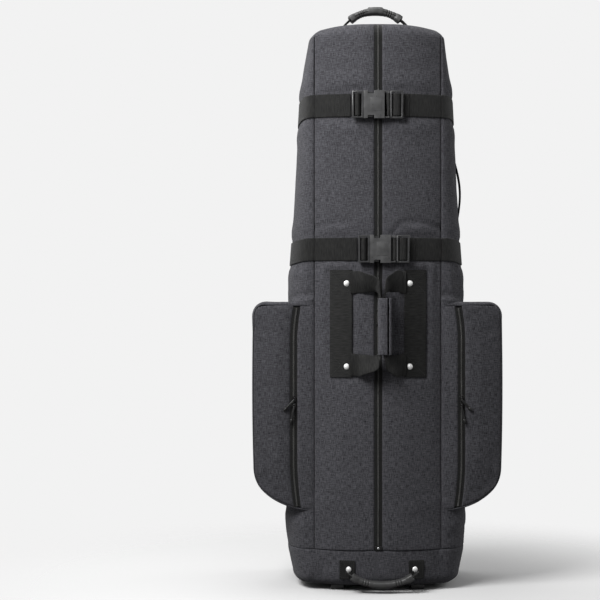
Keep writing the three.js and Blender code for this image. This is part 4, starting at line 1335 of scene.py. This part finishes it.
def carry_loop(which, side, blade_x):
    """Webbing out of a patch's inner edge, turning on edge through the wrap, and back: the upper lobe, the
    run inside the wrap and the lower lobe. Each stop is a place, a direction across and a half width."""
    base = float(front_at(CARRY_IN)) - 3.4
    rise = 5 if side > 0 else 0

    def lobe(z, wrap_z, s):
        return [
            (CARRY_IN + 4.5, base, z, 0, 0, s, 25),
            (CARRY_IN - 4, base - 1, z, 0, 0, s, 25),
            (43, base - 4 - rise, z + s * (1 + rise * 0.4), 0, -0.1, s, 24.5),
            (29, FRONT_Y - 12 - rise, z - s, 0.1, -0.35, s, 23),
            (blade_x + 10, FRONT_Y - 21, z - s * 6, -0.3, -0.75, s, 19),
            (blade_x + 4, FRONT_Y - 27, z - s * 16, -0.2, -1.5, s * 0.8, 14.5),
            (blade_x, FRONT_Y - 29, wrap_z, 0, -1, 0, 10.5),
        ]

    wrapped = [(blade_x, FRONT_Y - 29, z, 0, -1, 0, 10) for z in (630, 600, 570, 545)]
    stops = np.array(lobe(688, 657, 1) + wrapped + lobe(505, 524, -1)[::-1])
    stops[:, 3:6] = unit(stops[:, 3:6])
    path = smooth_path(stops, 130) * (side, 1, 1, side, 1, 1, 1)
    name, body = f"carry_loop_webbing_{which}", f"{which}_carry_loop"
    centres, across, half = path[:, :3], path[:, 3:6], path[:, 6]
    strap(name, body, centres, across, half, 2.2, [f"carry_loop_{which}"], crown=side * 2.2, count=9)


def carry_wrap():
    """The padded leaf folded round both loops: its two long edges meet at a slit in front."""
    x0, _, y0, y1, z0, z1 = span("carry_wrap")
    half_x, half_y = 15, (y1 - y0) / 2
    slit_x, square = 20.5, 0.55  # where its long edges meet, and how square its section is
    middle = np.array([x0 + half_x, (y0 + y1) / 2])
    angles = np.linspace(0, TAU, 400)
    ring = np.stack([np.cos(angles), np.sin(angles)], 1)
    ring = middle + np.sign(ring) * np.abs(ring) ** square * (half_x, half_y)
    slit = np.argmin(np.where(ring[:, 1] < middle[1], np.abs(ring[:, 0] - slit_x), np.inf))
    section = resample(np.concatenate([ring[slit:-1], ring[: slit + 1]]), np.linspace(0, 1, 73))
    section = at_length(section, np.linspace(2.4, lengths(section)[-1] - 2.4, 73))
    heights = stations(z1 - z0, 5) + z0
    grid = np.array([np.column_stack([section, np.full(len(section), z)]) for z in heights])
    uv = sheet_uv(grid)
    edge = border_distance(uv)
    relief = 0.7 * waves(uv[..., 0], uv[..., 1], 26, 301) * smooth(edge, 1, 12) + rolled(edge, 4, 1.3)
    inside, body = (*middle, 590), "right_carry_loop"
    leaf = slab("carry_wrap_leaf", grid, uv, 2.8, inside, relief)
    piece(leaf, body, WRAP_HEATHER, ["carry_wrap"])
    lines = [np.s_[3:-3, 4], np.s_[3:-3, 68], np.s_[5, 4:69], np.s_[-6, 4:69]]
    topstitch("carry_wrap_thread", grid, np.full_like(edge, 0.2), inside, lines, body, (3.6, 2.4, 0.7))


# ---- Buckles ----
def strap_loop(name, stops, z, body):
    """Webbing that goes round a bar: stops are x and y."""
    path = smooth_path([(x, y, z) for x, y in stops], 46)
    strap(name, body, path, UP, STRAP_HALF - 0.6, 1.7)


def buckle(level, z):
    """A side-release buckle and the tri-glide beside it, with the webbing that is threaded through them."""
    node = f"{level}_buckle_socket"
    x0, _, y0 = span(node)[:3]
    # the socket in the lighter nylon: a painted highlight on its glossy plate
    softened(f"{node}_moulded", node, "right_flap", BUCKLE_HIGHLIGHT_NYLON, 1.3, 4)
    # its raised pad in the lighter nylon too, a painted highlight
    panel = [(x0 + 15, z + 15), (x0 + 15, z - 15), (x0 + 40, z - 15), (x0 + 40, z + 15)]
    raised = plate(f"{level}_buckle_pad", panel, y0 - 0.5, y0 + 0.6)
    piece(raised, "right_flap", BUCKLE_HIGHLIGHT_NYLON, sharp=50)
    node = f"{level}_buckle_plug"
    left, _, p0 = span(node)[:3]
    softened(f"{node}_moulded", node, f"{level}_plug", BUCKLE, 1.0)
    back = FRONT_Y - 3.4
    stops = [(left - 1, back), (left + 5, back - 1), (left + 8.5, p0 + 1.2), (left + 12.5, p0 - 1.1)]
    stops += [(left + 16.5, p0 + 1.2), (left + 19, back - 2), (left + 22, back + 0.3)]
    strap_loop(f"{level}_plug_webbing", stops, z, f"{level}_plug")
    stops = [(x0 + 47.5, back + 0.5), (x0 + 49.4, back - 3), (x0 + 51.5, y0 + 4.2), (x0 + 55, y0 + 1.7)]
    stops += [(x0 + 58.3, y0 + 4), (x0 + 60, back - 2.2), (x0 + 64, back - 0.6), (x0 + 70, back - 0.2)]
    strap_loop(f"{level}_socket_webbing", stops, z, "right_flap")
    node = f"{level}_tri_glide"
    g0, _, q0, q1 = span(node)[:4]
    softened(f"{node}_moulded", node, f"{level}_glide", BUCKLE, 1.1)
    # the tri-glide's front bar in the lighter nylon: a painted highlight on its rounded edge
    bow = np.array([(10, 1.4, -28.6), (5, 0.2, -29), (2.6, -1.2, -27.2), (2.2, -1.8, -22)])
    path = smooth_path(mirrored(bow, (1, 1, -1)) + (g0, q0, z), 60)
    rim = merged(f"{level}_tri_glide_bar", [tube_along(path, 2.0, 12)])
    piece(rim, f"{level}_glide", BUCKLE_HIGHLIGHT_NYLON, sharp=60)
    stops = [(g0 + 4.4, q1 + 0.5), (g0 + 6, q1 - 1.8), (g0 + 9.5, q0 - 0.6), (g0 + 14.5, q0 - 1.4)]
    stops += [(g0 + 19.5, q0 - 0.6), (g0 + 23, q1 - 1.8), (g0 + 24.6, q1 + 0.5)]
    strap_loop(f"{level}_glide_webbing", stops, z, f"{level}_glide")


# ---- Handles ----
def arch_line(half, foot, crest, x, y, share0, share1, count):
    """Points along a handle's arch between two shares of its length."""
    shoulder = 0.55 * half
    t = np.linspace(share0, share1, count)[:, None]
    a, b, c, d = np.array([(-half, foot), (-shoulder, crest), (shoulder, crest), (half, foot)])
    flat = a * (1 - t) ** 3 + 3 * b * t * (1 - t) ** 2 + 3 * c * t * t * (1 - t) + d * t**3
    return np.stack([x + flat[:, 0], np.full(count, float(y)), flat[:, 1]], 1)


def grip(name, line, wide, tall, body, replaced, up):
    """A moulded grip along an arch: square flared ends, three grooves towards each, and a swollen middle."""
    angles = TAU * np.arange(40) / 40
    across = np.array([0.0, 1.0, 0.0])
    run = lengths(line)
    normals = unit(np.cross(across, unit(np.gradient(line, axis=0)))) * up
    points = []
    for middle, normal, share in zip(line, normals, run / run[-1]):
        end = min(share, 1 - share)
        flare = 0.98 + 0.05 * (1 - smooth(end, 0.05, 0.13)) + 0.03 * smooth(end, 0.38, 0.5)
        waist = 0.06 * under(end, 0.13, 0.34, 0.05)
        grooves = 0.14 * sum(bump(end - at, 0.008) for at in (0.20, 0.24, 0.28))
        size = (flare - waist - grooves) * (1 - 0.35 * (1 - smooth(end, 0, 0.012)))
        square = 0.72 if end > 0.12 else 0.5
        c, n = (np.sign(v) * np.abs(v) ** square for v in (np.cos(angles)[:, None], np.sin(angles)[:, None]))
        points.extend(middle + across * wide * size * c + normal * tall * size * n)
    made = add_mesh(name, points, tube_faces(len(line), len(angles)))
    return piece(made, body, RUBBER, replaced, sharp=60)


def grip_pad(name, line, wide, tall, body, up):
    """The oval inset on a grip's outer face."""
    along = unit(np.gradient(line, axis=0))
    middle, reach_along = len(line) // 2, int(len(line) * 0.13)
    rings, sides = 5, 36
    points = []
    for reach in 1 - np.arange(rings + 1) / rings:
        for a in TAU * np.arange(sides) / sides:
            place = middle + reach_along * reach * math.cos(a)
            low = int(min(max(place, 0), len(line) - 2))
            at = line[low] + (line[low + 1] - line[low]) * (place - low)
            normal = np.cross((0, 1, 0), along[low]) * up
            across = wide * 0.62 * reach * math.sin(a)
            drop = tall * (1 - math.sqrt(1 - (across / wide) ** 2)) * 0.9
            points.append(at + (0, across, 0) + normal * (tall + 1.1 * (1 - reach**4) - drop))
    under_rim = [point - (0, 0, 2.0 * up) for point in points[:sides]]
    made = add_mesh(name, under_rim + points, tube_faces(rings + 2, sides))
    return piece(made, body, RUBBER_PAD, sharp=60)


def top_handle():
    """The top handle: webbing that bends between its sewn feet and the moulded grip."""
    half, foot, crest, y = 84, 1265, 1332, 12
    body, sideways = "top_handle", (0, 1, 0)
    line = arch_line(half, foot, crest, 0, y, 0, 1, 80)
    wide = np.interp(line[:, 2], [foot, foot + 22], [12.5, 14])
    made = strap("top_handle_strap", None, line, sideways, wide, 2.4, ["top_handle_webbing"])
    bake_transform(made)
    held = arch_line(half, foot, crest, 0, y, 0.18, 0.82, 150)
    grip("top_handle_moulding", held, 14.6, 8.8, body, ["top_handle_grip"], -1)
    grip_pad("top_handle_pad", held, 14.6, 8.8, body, -1)
    for which, side in SIDES.items():
        x = np.linspace(side * 80, side * 106, 14)
        centres = np.stack([x, np.full_like(x, y), top_z(x) + 0.7], 1)
        strap(f"top_handle_anchor_{which}", "case", centres, sideways, 16, 1.4)
        lines = [[(side * at, y + v, top_z(at) + 1.4) for v in np.linspace(-13, 13, 10)] for at in (84, 103)]
        for v in (-13, 13):
            lines.append([(side * at, y + v, top_z(at) + 1.4) for at in np.linspace(84, 103, 12)])
        sew(f"top_handle_thread_{which}", [stitch_row(line, UP) for line in lines], "case")


BASE_GRIP = {"x": 8, "half": 80, "z": 48, "drop": 38, "y": FRONT_Y - 14}


def base_handle():
    """The handle low on the front: webbing and a moulded grip that hang from two riveted patches."""
    g = BASE_GRIP
    body = "base_handle"
    place = (g["half"], g["z"], g["z"] - g["drop"], g["x"], g["y"])
    whole = arch_line(*place, 0, 1, 70)
    strap("base_handle_strap", body, whole, (0, 1, 0), 10.6, 2.4, ["base_handle_webbing"])
    held = arch_line(*place, 0.1, 0.9, 150)
    grip("base_handle_moulding", held, 13.0, 7.8, body, ["base_handle_grip"], 1)
    grip_pad("base_handle_pad", held, 13.0, 7.8, body, 1)
    for which, side in SIDES.items():
        middle = g["x"] + side * (g["half"] - 3)
        x = np.linspace(middle - 17, middle + 17, 16)
        centres = np.stack([x, front_at(x) - 1.9, np.full_like(x, 49)], 1)
        strap(f"base_patch_{which}", "case", centres, UP, 21, 2.0, count=9)
        lines = [[(i, front_at(i) - 3.0, z) for i in x[1:-1]] for z in (31.5, 66.5)]
        lines += [[(i, front_at(i) - 3.0, z) for z in np.linspace(31.5, 66.5, 12)] for i in (x[1], x[-2])]
        sew(f"base_patch_thread_{which}", [stitch_row(line, front_normal(middle)) for line in lines], "case")
        rivet(f"base_rivet_{which}", middle - side * 4, front_at(middle) - 2.8, 50, "case")


def side_handle():
    """The webbing handle on the right side, sewn down at both ends."""
    _, _, y0, y1, z0, z1 = span("side_handle")
    z = np.linspace(z0, z1, 40)
    x = np.interp(z, LEVEL_Z, LEVEL_HALF) + 2.0 + 9 * np.sin(np.pi * (z - z0) / (z1 - z0))
    centres = np.stack([x, np.full_like(z, (y0 + y1) / 2), z], 1)
    strap("side_handle_strap", "case", centres, (0, 1, 0), (y1 - y0) / 2, 2.2, ["side_handle"])
    rows = []
    for low, high in ((z0 - 22, z0 + 4), (z1 - 4, z1 + 22)):
        h = np.linspace(low, high, 12)
        surface = np.interp(h, LEVEL_Z, LEVEL_HALF)
        centres = np.stack([surface + 1.8, np.full_like(h, 14), h], 1)
        strap(f"side_handle_end_{int(low)}", "case", centres, (0, 1, 0), 15.4, 1.8)
        for v in (2, 26.5):
            rows.append(stitch_row([(s + 3.0, v, q) for s, q in zip(surface, h)], (1, 0, 0)))
        for q in (low + 3, high - 3):
            level = np.interp(q, LEVEL_Z, LEVEL_HALF) + 3.0
            rows.append(stitch_row([(level, v, q) for v in np.linspace(2, 26.5, 10)], (1, 0, 0)))
    sew("side_handle_thread", rows, "case")


# ---- Wheels, feet, kick plate and board ----
def wheel(which):
    """A wheel: a tyre, a ribbed hub and the pin it turns on."""
    x0, x1, y0, y1, z0, z1 = span(f"wheel_{which}")
    middle, radius, half = ((x0 + x1) / 2, (y0 + y1) / 2, (z0 + z1) / 2), (z1 - z0) / 2, (x1 - x0) / 2
    body = f"{which}_wheel"
    section = [(20.5, 1.5 - half), (22, -half), (radius - 4.5, -half), (radius - 2.0, 1.2 - half)]
    section += [(radius - 0.9, 4 - half), (radius - 0.2, -4), (radius - 0.9, -3.4), (radius - 0.9, -2.2)]
    section = mirrored(section + [(radius, -1.6)], (1, -1))
    tyre = lathed(f"wheel_tyre_{which}", [*section, section[0]], middle, "x", 72)
    piece(tyre, body, RUBBER, [f"wheel_{which}"], sharp=50)
    hub = [(4.6, 0.4), (7.5, 0.4), (8.2, 1.6), (8.6, 4.4), (17.6, 5.2), (18.6, 2), (20.3, 1.7)]
    hub = [(r, h - half) for r, h in hub]
    parts = [lathed(f"wheel_hub_{which}", [*mirrored(hub, (1, -1)), hub[0]], middle, "x", 60)]
    parts += [spoke(middle, TAU * k / 6, face, half) for k in range(6) for face in (-1, 1)]
    piece(join(f"wheel_core_{which}", parts), body, HUB, sharp=45)
    node = f"wheel_axle_{which}"
    start, end = (x - middle[0] for x in span(node)[:2])
    pin = [(0.01, start), (3.2, start), (3.9, start + 0.7), (3.9, end - 0.7), (3.2, end), (0.01, end)]
    piece(lathed(f"wheel_pin_{which}", pin, middle, "x", 32), "case", STEEL, [node], sharp=40)


def running_gear():
    """Wheels, their housings, the front feet, the kick plate and the base board."""
    for which in SIDES:
        wheel(which)
        node = f"wheel_housing_{which}"
        softened(f"wheel_housing_moulded_{which}", node, "case", PLASTIC, 1.6)
        softened(f"front_foot_moulded_{which}", f"front_foot_{which}", "case", RUBBER, 1.6)
    softened("kick_plate_moulded", "kick_plate", "case", PLASTIC, 1.4)
    softened("base_board_moulded", "base_board", "case", PLASTIC, 0.8, 2)


def spoke(middle, angle, face, half):
    """A raised rib on one face of a wheel's hub."""
    corners = []
    for r, w, h in itertools.product((8.0, 18.4), (-1.3, 1.3), (half - 4.8, half - 2.4)):
        y = r * math.cos(angle) - w * math.sin(angle)
        z = r * math.sin(angle) + w * math.cos(angle)
        corners.append(np.add(middle, (face * h, y, z)))
    return round_edges(face_outwards(add_mesh("spoke", corners, BOX_FACES)), 0.5, 2)


# ---- Support rod ----
TUBE_BODIES = ("case", "tube_2", "tube_3", "tube_4")


def round_node(node):
    """Radius of a node that is round about an upright axis, and where its axis stands."""
    x0, x1, y0, y1 = span(node)[:4]
    return (x1 - x0) / 2, ((x0 + x1) / 2, (y0 + y1) / 2, 0)


def support_rod():
    """The telescopic rod inside the case: four tubes, three collars, the foot and the dome."""
    wall = 0.85
    for i, body in enumerate(TUBE_BODIES, 1):
        radius, at = round_node(f"rod_tube_{i}")
        z0, z1 = span(f"rod_tube_{i}")[4:]
        profile = [(radius - 0.3, z0), (radius, z0 + 0.4), (radius, z1 - 0.4), (radius - 0.3, z1)]
        profile += [(radius - wall, z1), (radius - wall, z0), (radius - 0.3, z0)]
        made = lathed(f"rod_tube_drawn_{i}", profile, at, "z", 64)
        piece(made, body, TUBE, [f"rod_tube_{i}"], sharp=40)
    for i in (1, 2, 3):
        collar(i)
    softened("rod_foot_moulded", "rod_foot", "case", RUBBER, 0.5, 2, 50, 40)
    rod_dome()


def collar(number):
    """A twist collar with gripping flutes round its wide lower part. It holds two tubes, one in the other."""
    node = f"rod_collar_{number}"
    radius, at = round_node(node)
    z0, z1 = span(node)[4:]
    bore, throat = (round_node(f"rod_tube_{i}")[0] + 0.45 for i in (number, number + 1))
    mouth = (z0 + z1) / 2
    profile = [(bore, z0), (radius - 0.9, z0), (radius - 0.1, z0 + 1.0), (radius, z0 + 3)]
    profile += [(radius, mouth - 3), (radius - 0.3, mouth - 1.6), (radius - 1.0, mouth + 3)]
    profile += [(radius - 1.1, mouth + 5), (radius - 0.5, mouth + 6), (radius - 0.5, z1 - 1.5)]
    profile += [(radius - 1.2, z1), (throat, z1), (throat, mouth + 1), (bore, mouth + 1), (bore, z0)]
    made = lathed(f"rod_collar_moulded_{number}", profile, at, "z", 72)
    for v in made.data.vertices:
        z = v.co.z / MM
        dx, dy = v.co.x / MM - at[0], v.co.y / MM - at[1]
        reach = math.hypot(dx, dy)
        if z0 + 2 < z < mouth - 2 and reach > bore + 1:
            factor = 1 - 0.5 * (0.5 + 0.5 * math.cos(18 * math.atan2(dy, dx))) / reach
            v.co.x = (at[0] + dx * factor) * MM
            v.co.y = (at[1] + dy * factor) * MM
    return piece(made, f"collar_{number}", PLASTIC, [node], sharp=50)


def rod_dome():
    """The dome on the rod's top tube: a thin cap with a socket under its middle."""
    radius, at = round_node("rod_dome")
    z0, z1 = span("rod_dome")[4:]
    rim, rise, top = z0 + 20, z1 - z0 - 20, z0 + 19.5
    tube = round_node("rod_tube_4")[0]
    bend = 1.15
    arc = lambda drop: [
        ((radius - drop) * math.sin(a) / math.sin(bend), rim + (rise - drop) * math.cos(a * QUARTER / bend))
        for a in np.linspace(0, bend, 30)
    ]
    outside = arc(0)
    outside[0] = (0.01, outside[0][1])
    inside = [p for p in arc(3)[::-1] if p[0] > tube + 7]
    inside[0] = (radius - 3, rim)
    stem = [(tube + 6, inside[-1][1] - 1), (tube + 5, z0 + 1), (tube + 4.4, z0), (tube + 0.45, z0)]
    stem += [(tube + 0.45, top), (0.01, top)]
    made = lathed("rod_dome_moulded", outside + inside + stem, at, "z", 96)
    return piece(made, "tube_4", PLASTIC, ["rod_dome"], sharp=50)


# ---- The case, put together ----
set_stage()
for which, sign in SIDES.items():
    front_flap(which, sign)
    side_gusset(which, sign)
    pocket_face(f"pocket_front_{which}", sign, True)
    pocket_face(f"pocket_strip_{which}", sign, False)
    pocket_gusset(f"pocket_band_{which}", sign)
    carry_patch(which, sign)
back_panel()
top_panel()
base_boot()
all_zips()
all_sliders()
carry_loop("left", -1, -3)
carry_loop("right", 1, 11)
carry_wrap()
for level, height in STRAP_Z.items():
    strap_band(f"{level}_strap_band_webbing", height)
    left_end, right_end = span(f"{level}_strap_left")[1], span(f"{level}_strap_right")[0]
    name = f"{level}_strap_webbing"
    edge = SEAM_X - SEW_GAP
    node = f"{level}_strap_left"
    strap_front(f"{name}_left", node, -edge, left_end, height, "left_flap", left_end - 31)
    node = f"{level}_strap_right"
    strap_front(f"{name}_right", node, right_end, edge, height, "right_flap", right_end + 50)
    buckle(level, height)
top_handle()
base_handle()
side_handle()
running_gear()
support_rod()

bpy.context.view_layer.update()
